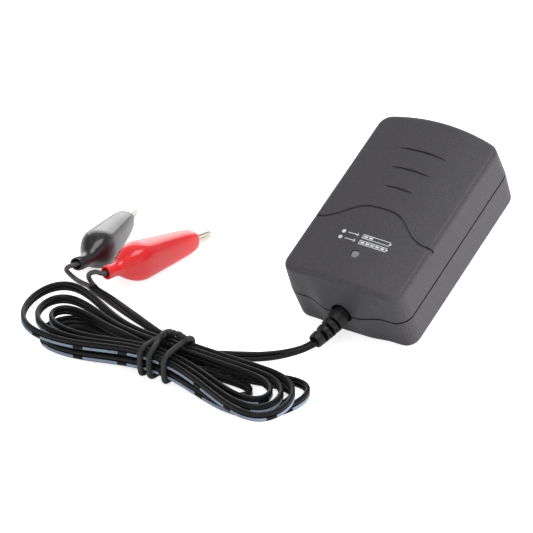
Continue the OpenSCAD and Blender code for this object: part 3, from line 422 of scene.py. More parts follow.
def in_clip(clip, p):
    """Places drawn along a clip, pitched about y, turned to its heading and moved to it."""
    p = np.asarray(p, float)
    c, s = math.cos(CLIP_PITCH), math.sin(CLIP_PITCH)
    x = p[..., 0] * c + p[..., 2] * s
    z = -p[..., 0] * s + p[..., 2] * c + CLIP_LIFT
    c, s = math.cos(clip["heading"]), math.sin(clip["heading"])
    tail_x, tail_y = clip["tail"]
    return np.stack([tail_x + x * c - p[..., 1] * s, tail_y + x * s + p[..., 1] * c, z], -1)


# ---- sizes and colours that may be changed ----


class ChargerSizes(bpy.types.PropertyGroup):
    """Sizes of the soft pieces."""

    core: bpy.props.FloatProperty(name="Core diameter",
        description="Diameter of each of the two cores of the twin lead",
        default=2 * CORE * MM, min=0.001, max=0.002, precision=5, unit="LENGTH")
    tie: bpy.props.FloatProperty(name="Tie diameter",
        description="Diameter of the coated wire tie", default=0.0018, min=0.001, max=0.0022,
        precision=5, unit="LENGTH")
    boot_wall: bpy.props.FloatProperty(name="Boot wall",
        description="Thickness of the soft boots", default=0.0008, min=0.0005, max=0.001,
        precision=5, unit="LENGTH")
    dash: bpy.props.FloatProperty(name="Dash length",
        description="Length of one printed dash and the gap after it on the lead",
        default=0.0162, min=0.006, max=0.04, precision=4, unit="LENGTH")
    print_height: bpy.props.FloatProperty(name="Pictogram height",
        description="Height of a row of the printed battery pictograms", default=0.0017,
        min=0.001, max=0.003, precision=4, unit="LENGTH")


class ChargerColours(bpy.types.PropertyGroup):
    """Colours of the pieces that show."""

    housing: bpy.props.FloatVectorProperty(name="Housing",
        description="Colour of the moulded shells", default=linear("#48464b"), min=0, max=1,
        subtype="COLOR")
    cord: bpy.props.FloatVectorProperty(name="Cord",
        description="Colour of the twin lead and the clip leads", default=linear("#0b0b0c"),
        min=0, max=1, subtype="COLOR")
    # Painted sheen: the clip leads' colour is paler than the cord's to stand in for their
    # highlight.
    leads: bpy.props.FloatVectorProperty(name="Clip leads",
        description="Colour of the single leads to the clips", default=linear("#5a5556"),
        min=0, max=1, subtype="COLOR")
    dashes: bpy.props.FloatVectorProperty(name="Dashes",
        description="Colour of the dashes printed along one core", default=linear("#8d9bb0"),
        min=0, max=1, subtype="COLOR")
    tie: bpy.props.FloatVectorProperty(name="Tie",
        description="Colour of the wire tie's coating", default=linear("#29292b"), min=0,
        max=1, subtype="COLOR")
    relief: bpy.props.FloatVectorProperty(name="Strain relief",
        description="Colour of the slotted rubber strain relief", default=linear("#111112"),
        min=0, max=1, subtype="COLOR")
    red: bpy.props.FloatVectorProperty(name="Red boot",
        description="Colour of the positive clip's boot", default=linear("#ff252b"), min=0,
        max=1, subtype="COLOR")
    black: bpy.props.FloatVectorProperty(name="Black boot",
        description="Colour of the negative clip's boot", default=linear("#232326"), min=0,
        max=1, subtype="COLOR")
    plating: bpy.props.FloatVectorProperty(name="Clip plating",
        description="Colour of the plated jaws and rivets", default=linear("#f4ecdd"), min=0,
        max=1, subtype="COLOR")


# ---- camera ----


def stand(name, data, place, axes):
    """A new object with this data, at a place in metres, with its three axes as columns."""
    made = bpy.data.objects.new(name, data)
    turned = Matrix(np.stack(axes, 1).tolist()).to_4x4()
    made.matrix_world = Matrix.Translation(place) @ turned
    bpy.context.scene.collection.objects.link(made)
    return made


# The view's turn and rise in degrees, the point that it stands off and how far in
# millimetres, the frame, focal length and that point's offset in frame units, and the
# sensor's width in millimetres.
VIEW_TURN, VIEW_RISE = 32.604, 27.987
VIEW_MIDDLE, VIEW_FAR = (0, 0.462, 26.123), 1428.0
FRAME, FOCAL = 533, 4334.4
OFF_RIGHT, OFF_UP = 134.211, 38.161
SENSOR = 36


class CHARGER_OT_camera(bpy.types.Operator):
    """Stand the camera off the cord corner of the housing, a little above it"""

    bl_idname = "charger.camera"
    bl_label = "Camera"

    def execute(self, context):
        turn, rise = math.radians(VIEW_TURN), math.radians(VIEW_RISE)
        away = np.array([math.sin(turn) * math.cos(rise), -math.cos(turn) * math.cos(rise),
            math.sin(rise)])
        right = np.array([math.cos(turn), math.sin(turn), 0])
        up = np.cross(away, right)
        aimed = -away - OFF_RIGHT / FOCAL * right - OFF_UP / FOCAL * up
        back = -unit(aimed)
        upright = unit(up - back * (up @ back))
        data = bpy.data.cameras.new("Camera")
        data.sensor_width = SENSOR
        data.lens = FOCAL * SENSOR / FRAME
        data.clip_start = 0.05
        place = (np.array(VIEW_MIDDLE) + away * VIEW_FAR) * MM
        axes = np.cross(upright, back), upright, back
        context.scene.camera = stand("Camera", data, place.tolist(), axes)
        return {"FINISHED"}


# ---- cord and leads ----


# Share of each dash's pitch that is inked, and the band's middle and half width as shares
# of the way round the lead.
INKED = 0.78
BAND, BAND_HALF = 0.854, 0.046


def cord_jacket(name, colour, dashes, dash):
    """Material: extruded PVC cord jacket, satin, with a dash print along one core.

    Extruding leaves fine lines along the lead and a soft shine that is a little uneven.
    The dashes are pale ink in a narrow band round one core, worn at their ends."""
    material, tree, place = start_material(name)
    lay = add(tree, "ShaderNodeUVMap", uv_map="Lengthwise")
    split = add(tree, "ShaderNodeSeparateXYZ", {"Vector": lay})
    step = add(tree, "ShaderNodeMath", {0: split, 1: dash}, operation="FLOORED_MODULO")
    inked = add(tree, "ShaderNodeMath", {0: step, 1: dash * INKED}, operation="LESS_THAN")
    band = add(tree, "ShaderNodeMath", {0: split.outputs[1], 1: BAND, 2: BAND_HALF},
        operation="COMPARE")
    wear = add(tree, "ShaderNodeTexNoise", {"Vector": place, "Scale": 1000 / 1.1,
        "Detail": 3.0})
    kept = add(tree, "ShaderNodeMapRange", {"Value": wear, "From Min": 0.24,
        "From Max": 0.34})
    ink = add(tree, "ShaderNodeMath", {0: inked, 1: band}, operation="MULTIPLY")
    ink = add(tree, "ShaderNodeMath", {0: ink, 1: kept}, operation="MULTIPLY")
    drift = add(tree, "ShaderNodeTexNoise", {"Vector": place, "Scale": 1000 / 14,
        "Detail": 2.0})
    jacket = add(tree, "ShaderNodeMix", {0: drift, 6: toned(colour, 0.75),
        7: toned(colour, 1.3)}, data_type="RGBA")
    tone = add(tree, "ShaderNodeMix", {0: ink, 6: jacket.outputs[2],
        7: (*dashes, 1)}, data_type="RGBA")
    shine = add(tree, "ShaderNodeMapRange", {"Value": drift, **SPAN,
        "To Min": 0.4, "To Max": 0.5})
    # Lines left by the die, each about 25 mm long and a third of a millimetre across.
    stretch = add(tree, "ShaderNodeMapping", {"Vector": lay, "Scale": (40, 26, 1)})
    lines = add(tree, "ShaderNodeTexNoise", {"Vector": stretch, "Scale": 1.0, "Detail": 2.0})
    bump = add(tree, "ShaderNodeBump", {"Distance": 0.05 * MM, "Height": lines})
    end_material(tree, {"Base Color": tone.outputs[2], "Roughness": shine,
        "Normal": bump, "IOR": 1.35})
    return material


# Half height of the web between the cores, as a share of a core's radius, and the angle
# past which an edge stays sharp.
WEB = 0.26
SHARP = math.radians(60)


def twin_section(roll, core):
    """Outline of the twin lead for each roll: two round cores side by side, 154 degrees
    each way round, with a thin web between them, turned by the roll."""
    lobe = np.radians(np.linspace(-154, 154, 13))
    right = np.stack([core + core * np.cos(lobe), core * np.sin(lobe)], 1)
    web = core * WEB
    outline = np.vstack([right, [[0, web]], -right, [[0, -web]]])
    c, s = np.cos(roll)[:, None], np.sin(roll)[:, None]
    x, y = outline[None, :, 0], outline[None, :, 1]
    return np.stack([x * c - y * s, x * s + y * c], -1)


class CHARGER_OT_twin_lead(bpy.types.Operator):
    """Make the twin lead: out of the strain relief, through the hank and to the split"""

    bl_idname = "charger.twin_lead"
    bl_label = "Twin lead and hank"

    def execute(self, context):
        sizes, colours = context.scene.charger_sizes, context.scene.charger_colours
        route, roll = twin_route()
        path, roll = evened(route, 0.95, roll)
        core = sizes.core / 2 / MM
        rings = carried(path, twin_section(roll, core), level_sides(path))
        jacket = cord_jacket("Extruded PVC cord jacket", colours.cord, colours.dashes,
            sizes.dash)
        lead = make_piece("twin_lead", skin(rings), jacket,
            lengthwise(rings, along_path(path)))
        # The web's edge stays sharp, so that the groove between the cores reads dark.
        lead.data.set_sharp_from_angle(angle=SHARP)
        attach(lead, "charger")
        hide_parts("output_cord", "cord_hank", "cord_tail")
        return {"FINISHED"}


# Each clip lead starts this much inside the twin lead's end, thinned to this share.
INSET = 8
HIDDEN = 0.6


def relaxed(path, times):
    """A path with its corners eased: each point but the ends becomes half itself and a
    quarter of each neighbour, a number of times."""
    for _ in range(times):
        path = np.vstack([path[:1], path[1:-1] / 2 + (path[:-2] + path[2:]) / 4, path[-1:]])
    return path


def lead_route(clip):
    """Middle of a clip's own lead, from eight millimetres inside the twin lead's end to the
    crimp: on from its core at the split, up in a bend and straight into the boot's tail."""
    across = unit(np.cross(SPLIT_WAY, [0.0, 0.0, 1.0]))
    begin = SPLIT + 0.1 * SPLIT_WAY + clip["side"] * (CORE + 0.06) * across
    x = np.array([-1.6, 1, 4, 6, 9.2])
    inside = in_clip(clip, np.stack([x, tail_bend(clip["bend"], x), 0 * x], 1))
    points = np.vstack([[begin - INSET * SPLIT_WAY + [0, 0, 0.5], begin,
        begin + 2.5 * SPLIT_WAY], clip["middle"], inside])
    return on_floor(spline(points, 16))


class CHARGER_OT_clip_leads(bpy.types.Operator):
    """Make the two single leads from the split to the clips"""

    bl_idname = "charger.clip_leads"
    bl_label = "Clip leads"

    def execute(self, context):
        colours = context.scene.charger_colours
        core = context.scene.charger_sizes.core / 2 / MM
        grey = np.array(colours.leads)
        # Material: PVC core insulation, satin, with a soft shine. Its colour is painted paler
        # than the jacket's, a painted sheen standing in for the highlight along the leads.
        material = plain_finish("PVC core insulation", grey, grey * 0.6, 6, 0.6, 0.01, 0.35,
            IOR=1.5)
        for name, clip in CLIPS.items():
            (path,) = evened(relaxed(evened(lead_route(clip), 0.5)[0], 14), 0.5)
            run = along_path(path)
            radius = core * (HIDDEN + (1 - HIDDEN) * ease((run - 7.5) / 0.6))
            rings = carried(path, round_section(20, radius), level_sides(path))
            lead = make_piece(f"{name}_clip_lead", skin(rings), material)
            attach(lead, "charger")
            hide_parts(f"{name}_lead")
        return {"FINISHED"}


class CHARGER_OT_declare_cords(bpy.types.Operator):
    """An empty step: it declares no cords and changes nothing"""

    bl_idname = "charger.declare_cords"
    bl_label = "Declare cords"

    def execute(self, context):
        return {"FINISHED"}


# ---- tie ----

# Radius of the tie and height of its middle under the waist, and then its heights over the
# waist and at its twisted ends. For each wrap its place along the waist and its lean, and
# last those of the strand that comes up the far side.
TIE = 0.9
TIE_HIGH = TIE_ROOM + 4 * CORE + LAYER_GAP + 0.35 + TIE
TIE_OVER = TIE_HIGH + 2 * TIE + 0.2
WRAPS = np.array([-3.4, 0.2, 5.4, 6.0])
WRAP_LEANS = np.array([0.0, 0.0, -0.08, -0.08])
# How far the twist runs, one turn of it, and how far each strand stands off its middle.
TWIST, TWIST_PITCH, TWIST_OFF = 12.0, 4.4, 0.5


def wrapped(first, second, start, end, steps):
    """Places of the tie round the waist, from one wrap to another and between two angles.

    Round the waist the tie follows |c / w| to the power n plus |s / h| to the power n = 1,
    with n = 5.6, which is a rounded box w by h."""
    t = np.linspace(0, 1, steps + 1)
    share = ease(t)
    along = WRAPS[first] + (WRAPS[second] - WRAPS[first]) * share
    lean = WRAP_LEANS[first] + (WRAP_LEANS[second] - WRAP_LEANS[first]) * share
    a = np.radians(start + (end - start) * t)
    c, s = np.cos(a), np.sin(a)
    k = (np.abs(c) ** 5.6 + np.abs(s) ** 5.6) ** (-1 / 5.6)
    wide = WAIST_HALF + (TURNS / 2 - 0.25) * RANK_GAP + CORE + 0.45 + TIE
    v = 0.45 + wide * c * k
    z = (TIE + TIE_HIGH) / 2 + (TIE_HIGH - TIE) / 2 * s * k
    return in_hank(np.stack([along + lean * v, v, z], 1))


class CHARGER_OT_tie(bpy.types.Operator):
    """Wrap the coated wire tie three times round the hank and twist its ends on top"""

    bl_idname = "charger.tie"
    bl_label = "Wire tie"

    def execute(self, context):
        radius = context.scene.charger_sizes.tie / 2 / MM
        over = in_hank([[5.5, 4.8, TIE_HIGH - 0.1], [4.3, 5.3, TIE_OVER - 1.4],
            [2.2, 5.6, TIE_OVER - 1.1], [-0.4, 5.2, TIE_OVER - 1.2],
            [-2.2, 3.8, TIE_OVER - 1.6]])
        points = np.vstack([over, wrapped(0, 0, 112, 400, 18), wrapped(0, 1, 420, 500, 4),
            wrapped(1, 1, 518, 630, 8), wrapped(1, 2, 646, 760, 8),
            wrapped(2, 2, 776, 990, 14), wrapped(2, 3, 1006, 1144, 10)])
        (path,) = evened(on_floor(spline(points, 10)), 0.3)
        middle = on_floor(in_hank([0, 0, (TIE + TIE_HIGH) / 2]))
        side = unit(np.cross(headings(path), path - middle))
        up = np.cross(side, headings(path))
        # The first stretch and a second strand wind round each other. Each stands off the
        # middle line by an offset that fades out where the wraps begin.
        run = along_path(path)
        offset = TWIST_OFF * ease((TWIST - run) / 2.5)
        turn = 2 * np.pi * run / TWIST_PITCH
        wind = (np.cos(turn)[:, None] * side + np.sin(turn)[:, None] * up) * offset[:, None]
        thin = radius * (1 - 0.14 * offset / TWIST_OFF)
        first = path + wind
        short = run < TWIST - 0.5
        second = (path - wind)[short]
        rings = carried(first, round_section(20, thin), side)
        extra = carried(second, round_section(20,
            thin[short] * (1 - ease((run[short] - 9.5) / 2) * 0.3)), side[short])
        grey = np.array(context.scene.charger_colours.tie)
        # Material: foamed PVC coating on a soft wire, matt. It gives a dull even grey with
        # a faint crease at each bend.
        material = plain_finish("Matt PVC tie coating", grey * 1.25, grey * 0.8, 3, 0.35,
            0.03, 0.62, IOR=1.48)
        tie = make_piece("wire_tie_wrap", joined_skins(skin(rings), skin(extra)), material)
        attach(tie, "charger")
        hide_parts("wire_tie")
        return {"FINISHED"}


# ---- boots ----

# Distance from the tail, half width and half height of a boot.
BOOT_SHAPE = np.array([
    [0, 2.4, 2.4], [1.2, 2.45, 2.45], [4, 2.35, 2.35], [6, 2.75, 2.85], [8, 3.75, 4.1],
    [10, 4.75, 5.15], [12.3, 5.5, 6], [15.3, 5.9, 6.4], [19.2, 5.7, 6], [23.6, 5.3, 5.5],
    [30.4, 4.65, 4.8], [37, 3.9, 4.05], [39.8, 3.45, 3.5], [41, 3.1, 3.1],
    [41.4, 2.95, 2.95]])


def boot_rings(clip, wall):
    """Rings of a boot's closed skin: along the outside, round the nose rim, back along the
    inside and round the tail rim.

    A ring at x is a rounded box |y / w| to the power n plus |z / h| to the power n = 1. Its
    half sizes follow the shape's smooth line less an inset, and n grows from 2 at the round
    tail to 2.8 over the jaws. The rims are half circles one wall across."""
    line = spline(BOOT_SHAPE, 12)
    rim = wall / 2
    end = BOOT_SHAPE[-1, 0]
    half_turn = np.linspace(0, np.pi, 9)[1:-1]
    outer = np.linspace(rim, end - rim, 110)
    x = np.concatenate([outer, end - rim + rim * np.sin(half_turn), outer[::-1],
        rim - rim * np.sin(half_turn)])
    inset = np.concatenate([0 * outer, rim - rim * np.cos(half_turn), 0 * outer + wall,
        rim + rim * np.cos(half_turn)])
    width = np.interp(x, line[:, 0], line[:, 1]) - inset
    height = np.interp(x, line[:, 0], line[:, 2]) - inset
    power = (2 + 0.8 * ease((x - 5) / 6))[:, None]
    a = 2 * np.pi * np.arange(72)[None] / 72
    c, s = np.cos(a), np.sin(a)
    k = (np.abs(c) ** power + np.abs(s) ** power) ** (-1 / power)
    y = width[:, None] * c * k + tail_bend(clip["bend"], x)[:, None]
    z = height[:, None] * s * k
    return on_floor(in_clip(clip, np.stack([x[:, None] + 0 * y, y, z], -1)))


def dipped_vinyl(name, colour, glow, depth):
    """Material: dip-moulded soft vinyl. A satin colour that light enters a little way,
    under a glossy skin with slow waves in it that shows sharp lights."""
    material, tree, place = start_material(name)
    drift = add(tree, "ShaderNodeTexNoise", {"Vector": place, "Scale": 1000 / 9,
        "Detail": 2.0})
    tone = add(tree, "ShaderNodeMix", {0: drift, 6: toned(colour, 0.88),
        7: toned(colour, 1.1)}, data_type="RGBA")
    waves = add(tree, "ShaderNodeTexNoise", {"Vector": place, "Scale": 1000 / 5,
        "Detail": 1.0})
    bump = add(tree, "ShaderNodeBump", {"Distance": 0.06 * MM, "Height": waves})
    shine = add(tree, "ShaderNodeMapRange", {"Value": drift, **SPAN,
        "To Min": 0.36, "To Max": 0.44})
    end_material(tree, {"Base Color": tone.outputs[2], "Roughness": shine,
        "Normal": bump, "IOR": 1.46, "Coat Weight": 0.8, "Coat Roughness": 0.04,
        "Subsurface Weight": glow, "Subsurface Radius": (1.0, 0.25, 0.2),
        "Subsurface Scale": depth * MM})
    return material


class CHARGER_OT_boots(bpy.types.Operator):
    """Make the two soft boots"""

    bl_idname = "charger.boots"
    bl_label = "Clip boots"

    def execute(self, context):
        colours = context.scene.charger_colours
        wall = context.scene.charger_sizes.boot_wall / MM
        materials = {"red": dipped_vinyl("Red dipped vinyl", colours.red, 0.2, 1.0),
            "black": dipped_vinyl("Black dipped vinyl", colours.black, 0.0, 0.2)}
        for name, clip in CLIPS.items():
            boot = make_piece(f"{name}_boot", skin(boot_rings(clip, wall), joined=True),
                materials[name])
            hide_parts(f"{name}_clip_boot")
            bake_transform(boot)
        return {"FINISHED"}


# ---- strain relief and inner wires ----


class CHARGER_OT_strain_relief(bpy.types.Operator):
    """Soften the slotted strain relief as moulded rubber is"""

    bl_idname = "charger.strain_relief"
    bl_label = "Strain relief"

    def execute(self, context):
        grey = np.array(context.scene.charger_colours.relief)
        # Material: moulded thermoplastic rubber. Dull and dark, with a dry bloom on it.
        material = plain_finish("Moulded rubber", grey * 1.3, grey * 0.8, 5, 0.3, 0.02, 0.5,
            IOR=1.5)
        mesh = NODES["strain_relief"].data.copy()
        mesh.name = "relief_boot"
        made = bpy.data.objects.new("relief_boot", mesh)
        context.scene.collection.objects.link(made)
        merge = made.modifiers.new("Merge", "WELD")
        merge.merge_threshold = 2e-6
        voxels = made.modifiers.new("Voxels", "REMESH")
        voxels.mode = "VOXEL"
        voxels.voxel_size = 0.14 * MM
        voxels.use_smooth_shade = True
        soft = made.modifiers.new("Soften", "SMOOTH")
        soft.factor = 0.5
        soft.iterations = 4
        context.view_layer.update()
        solved = made.evaluated_get(context.evaluated_depsgraph_get())
        final = bpy.data.meshes.new_from_object(solved)
        if len(final.polygons) < 1000:
            raise RuntimeError("the strain relief's remesh came back empty")
        made.modifiers.clear()
        made.data = final
        final.name = "relief_boot"
        final.shade_smooth()
        final.materials.clear()
        final.materials.append(material)
        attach(made, "charger")
        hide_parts("strain_relief")
        return {"FINISHED"}


class CHARGER_OT_inner_wires(bpy.types.Operator):
    """Make the two wires from the cord's end down to the circuit board"""

    bl_idname = "charger.inner_wires"
    bl_label = "Inner wires"

    def execute(self, context):
        # Where the lead's cores end in the flat housing, and the top of the circuit board.
        begin, joint, deck = 4.55, JOINT_HEIGHT, 7.6
        for name, side, code in (("black", -1, "#17171a"), ("red", 1, "#c3141b")):
            tint = np.array(linear(code))
            points = [[side * CORE, begin, joint], [side * CORE, begin + 1, joint],
                [side * 1.2, begin + 2.6, joint - 1.6], [side * 1.9, begin + 3.2, deck + 1.2],
                [side * 1.9, begin + 3.2, deck + 0.15]]
            (path,) = evened(propped(spline(points, 12)), 0.3)
            sides = unit(np.cross(headings(path), [1.0, 0.0, 0.0]))
            rings = carried(path, round_section(16, np.full(len(path), 0.6)), sides)
            # Material: PVC hook-up wire insulation, semi-gloss in its one colour.
            material = plain_finish(f"{name.title()} hook-up wire", tint, tint * 0.7, 3, 0.3,
                0.01, 0.35)
            wire = make_piece(f"{name}_inner_wire", skin(rings), material)
            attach(wire, "charger")
            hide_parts("inner_wires")
        return {"FINISHED"}


# ---- print on the front face ----


# Rows of the print: each one's height up the face, and how many of its battery's bars are
# full. Then the battery's ends, the width of its line, and the pointer head's step.
ROWS = ((20.15, 2), (17.65, 5))
BATTERY = (-1.3, 9.1)
LINE = 0.24
STEP = 0.16


def on_face(x, y, lift):
    """Places on the crowned front face: its height at x is the side height plus the crown
    times 1 less the square of x over the half width."""
    z = FACE_HEIGHT + CROWN * (1 - (x / HALF_WIDTH) ** 2) + lift
    return propped(np.stack([x, y, z], -1))


def printed_bars(bars, lift, depth):
    """Thin closed slabs for bars given as x from, x to, y from, y to, each cut in eight
    along x so that it lies on the crown."""
    bars = np.asarray(bars, float)
    share = np.linspace(0, 1, 9)
    x = bars[:, :1] + (bars[:, 1:2] - bars[:, :1]) * share
    low, high = bars[:, 2:3] + 0 * x, bars[:, 3:4] + 0 * x
    rings = np.stack([on_face(x, low, lift), on_face(x, high, lift),
        on_face(x, high, lift - depth), on_face(x, low, lift - depth)], 2)
    return joined_skins(*[skin(r) for r in rings])


def printed_discs(discs, lift, depth):
    """Thin closed discs given as x, y and radius."""
    a = 2 * np.pi * np.arange(40) / 40
    shapes = []
    for x, y, radius in discs:
        around = [x + radius * np.cos(a), y + radius * np.sin(a)]
        shapes.append(skin(np.stack([on_face(*around, lift),
            on_face(*around, lift - depth)])))
    return joined_skins(*shapes)


class CHARGER_OT_pictograms(bpy.types.Operator):
    """Print two rows by the lamp: a dot, a pointer and a battery, part full and full"""

    bl_idname = "charger.pictograms"
    bl_label = "Battery pictograms"

    def execute(self, context):
        h = context.scene.charger_sizes.print_height / MM
        bars, discs = [], []
        for y, full in ROWS:
            discs.append((-8.6, y, h * 0.42))
            bars.append((-6.9, -3.0, y - 0.13, y + 0.13))
            steps = [STEP * k for k in range(4)]
            bars += [(s - 3.5, s - 3.3, y - 0.66 + s, y - 0.44 + s) for s in steps]
            bars += [(s - 3.5, s - 3.3, y + 0.44 - s, y + 0.66 - s) for s in steps]
            (left, right), low, high = BATTERY, y - h / 2, y + h / 2
            bars += [(left, right, low, low + LINE), (left, right, high - LINE, high),
                (left, left + LINE, low, high), (right - LINE, right, low, high),
                (right, right + 0.5, y - 0.32, y + 0.32)]
            bars += [(left + 0.6 + 1.9 * k, left + 2.05 + 1.9 * k, low + 0.48,
                high - 0.48) for k in range(full)]
        shape = joined_skins(printed_bars(bars, 0.03, 0.05), printed_discs(discs, 0.03, 0.05))
        # Material: pad-printed white ink. Opaque, a little thin in places, satin.
        material = plain_finish("Pad-printed ink", linear("#eceef0"), linear("#c9cbce"), 1.2,
            0.25, 0.004, 0.45)
        ink = make_piece("battery_pictograms", shape, material)
        ink.data.shade_flat()
        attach(ink, "charger")
        return {"FINISHED"}


# ---- finishes of the hard pieces ----


# Size at which the housing's grain is drawn, so that it shows: the real grain is about a
# quarter of a millimetre across.
COARSE = 0.42


def moulded_abs(name, colour):
    """Material: injection-moulded ABS with a spark-eroded grain. The grain scatters the
    shine into a soft even grey, with sparkle along the edges. A painted shadow darkens
    the colour in a thin band along the joint between the shells."""
    material, tree, place = start_material(name)
    flow = add(tree, "ShaderNodeTexNoise", {"Vector": place, "Scale": 1000 / 22,
        "Detail": 2.0, "Roughness": 0.4})
    speck = add(tree, "ShaderNodeTexNoise", {"Vector": place, "Scale": 1000 / COARSE,
        "Detail": 3.0, "Roughness": 0.7})
    base = add(tree, "ShaderNodeMix", {0: flow, 6: toned(colour, 0.94),
        7: toned(colour, 1.06)}, data_type="RGBA")
    shade = add(tree, "ShaderNodeMapRange", {"Value": speck, **SPAN,
        "To Min": 0.7, "To Max": 1.3})
    # Height over the flat housing's back, for the painted shadow along the joint between the
    # shells.
    tilt = REST_TILT
    flat = add(tree, "ShaderNodeMapping", {"Vector": place, "Rotation": (-tilt, 0, 0),
        "Location": (0, 0, (-REST_LIFT * math.cos(tilt) - ORIGIN_Y * math.sin(tilt)) * MM)})
    height = add(tree, "ShaderNodeSeparateXYZ", {"Vector": flat}).outputs[2]
    away = add(tree, "ShaderNodeMath", {0: height, 1: JOINT_HEIGHT * MM},
        operation="SUBTRACT")
    away = add(tree, "ShaderNodeMath", {0: away}, operation="ABSOLUTE")
    # Painted shadow: within 0.34 mm of the joint the colour falls to 0.02 of itself, and it
    # is back to full by 0.46 mm.
    painted_joint_shadow = add(tree, "ShaderNodeMapRange", {"Value": away, "From Min": 0.34 * MM,
        "From Max": 0.46 * MM, "To Min": 0.02, "To Max": 1.0})
    amount = add(tree, "ShaderNodeMath", {0: shade, 1: painted_joint_shadow}, operation="MULTIPLY")
    tone = add(tree, "ShaderNodeVectorMath", {0: base.outputs[2], "Scale": amount},
        operation="SCALE")
    bump = add(tree, "ShaderNodeBump", {"Distance": 0.035 * MM, "Height": speck})
    sheen = add(tree, "ShaderNodeMapRange", {"Value": speck, **SPAN,
        "To Min": 0.52, "To Max": 0.42})
    end_material(tree, {"Base Color": tone, "Roughness": sheen,
        "Normal": bump, "IOR": 1.44})
    return material


def dress(names, material):
    """Gives nodes a material in every slot of theirs."""
    for name in names:
        data = NODES[name].data
        if not data.materials:
            data.materials.append(material)
        for k in range(len(NODES[name].material_slots)):
            NODES[name].material_slots[k].material = material


class CHARGER_OT_housing_finish(bpy.types.Operator):
    """Finish both shells and the lamp"""

    bl_idname = "charger.housing_finish"
    bl_label = "Housing finish"

    def execute(self, context):
        colour = context.scene.charger_colours.housing
        dress(["front_shell"], moulded_abs("Moulded ABS front", colour))
        dress(["rear_shell"], moulded_abs("Moulded ABS back", colour))
        # Material: water-clear epoxy lens of a two-colour lamp. Milky, with a polished top.
        lens = plain_finish("Clear epoxy lens", linear("#b4b6b6"), linear("#8f9193"), 1.6,
            0.4, 0.005, 0.16, **{"IOR": 1.55, "Transmission Weight": 0.25})
        dress(["led"], lens)
        return {"FINISHED"}


class CHARGER_OT_metal_finish(bpy.types.Operator):
    """Finish the jaws, rivets, springs and mains blades"""

    bl_idname = "charger.metal_finish"
    bl_label = "Metal finish"

    def execute(self, context):
        warm = np.array(context.scene.charger_colours.plating)
        # Material: nickel-plated pressed steel. A warm silver with soft blurred reflections.
        plated = plain_finish("Nickel-plated steel", warm, warm * 0.86, 4, 0.5, 0.006, 0.3,
            Metallic=1.0)
        jaws = [f"{c}_clip_{p}" for c in CLIPS for p in ("fixed_jaw", "moving_jaw", "rivet")]
        dress(jaws, plated)
        # Material: drawn spring steel wire. Darker and smoother than the plated jaws.
        wire = plain_finish("Spring steel wire", linear("#b9b8b6"), linear("#8e8d8b"), 2,
            0.25, 0.004, 0.28, Metallic=1.0)
        dress([f"{c}_clip_spring" for c in CLIPS], wire)
        # Material: nickel-plated brass strip, brushed along its length by the plug.
        strip = plain_finish("Nickel-plated brass", linear("#d8d4c8"), linear("#b9b4a6"), 6,
            0.3, 0.006, 0.25, Metallic=1.0)
        dress(["blade_left", "blade_right"], strip)
        return {"FINISHED"}


# Finish of each inside piece: the real material, its light and dark tones, the sizes in
# millimetres of its patches and grain, the grain's height, roughness and metallic.
INSIDE = {
    "blade_clamp": ("Moulded polycarbonate", "#e8e4d8", "#d6d1c2", 8, 0.5, 0.01, 0.4, 0),
    "circuit_board": ("Epoxy board, lacquered", "#2a7a44", "#175a2c", 2.2, 0.6, 0.03, 0.3, 0),
    "fuse": ("Phenolic fuse case", "#6b4630", "#543320", 3, 0.3, 0.01, 0.4, 0),
    "choke_core": ("Sintered ferrite", "#56565a", "#3c3c3f", 1.5, 0.2, 0.03, 0.6, 0),
    "choke_winding": ("Enamelled copper wire", "#c46a26", "#86420f", 0.5, 0.3, 0.05, 0.25,
        0.8),
    "line_capacitor": ("Moulded film capacitor", "#dcb63e", "#c79f2c", 5, 0.4, 0.01, 0.35, 0),
    "bridge_rectifier": ("Epoxy encapsulation", "#333336", "#242427", 3, 0.25, 0.02, 0.5, 0),
    "mains_capacitor": ("Shrink sleeve", "#2c3d5b", "#1f2e48", 6, 0.5, 0.02, 0.3, 0),
    "transformer_core": ("Ground ferrite", "#48484b", "#343437", 2, 0.2, 0.02, 0.5, 0),
    "transformer_bobbin": ("Moulded phenolic", "#262629", "#18181a", 4, 0.3, 0.01, 0.4, 0),
    "transformer_winding": ("Polyester tape", "#e4c84a", "#cbae31", 6, 1.2, 0.04, 0.25, 0),
    "switching_chip": ("Filled epoxy", "#303033", "#222225", 3, 0.2, 0.02, 0.55, 0),
    "heat_sink": ("Extruded aluminium", "#c4c7cb", "#a3a6aa", 4, 0.3, 0.02, 0.35, 1),
    "output_diode": ("Cast epoxy", "#2f2f32", "#202022", 3, 0.25, 0.02, 0.5, 0),
    "optocoupler": ("White filled epoxy", "#f1eee6", "#dedacf", 3, 0.2, 0.01, 0.45, 0),
    "safety_capacitor": ("Dipped ceramic", "#3676bd", "#245c9a", 2, 0.4, 0.04, 0.3, 0),
    "output_capacitors": ("Dark shrink sleeve", "#262b35", "#181c24", 5, 0.5, 0.02, 0.3, 0),
    "output_inductor": ("Pressed ferrite", "#616165", "#47474a", 1.5, 0.2, 0.03, 0.6, 0),
    "charge_chip": ("Black filled epoxy", "#303033", "#222225", 3, 0.2, 0.02, 0.55, 0),
    "resistors": ("Lacquered resistor body", "#cfac74", "#b48d52", 1.2, 0.2, 0.02, 0.35, 0),
    "led_spacer": ("Natural nylon", "#f4f2ea", "#e4e1d5", 4, 0.3, 0.01, 0.45, 0)}


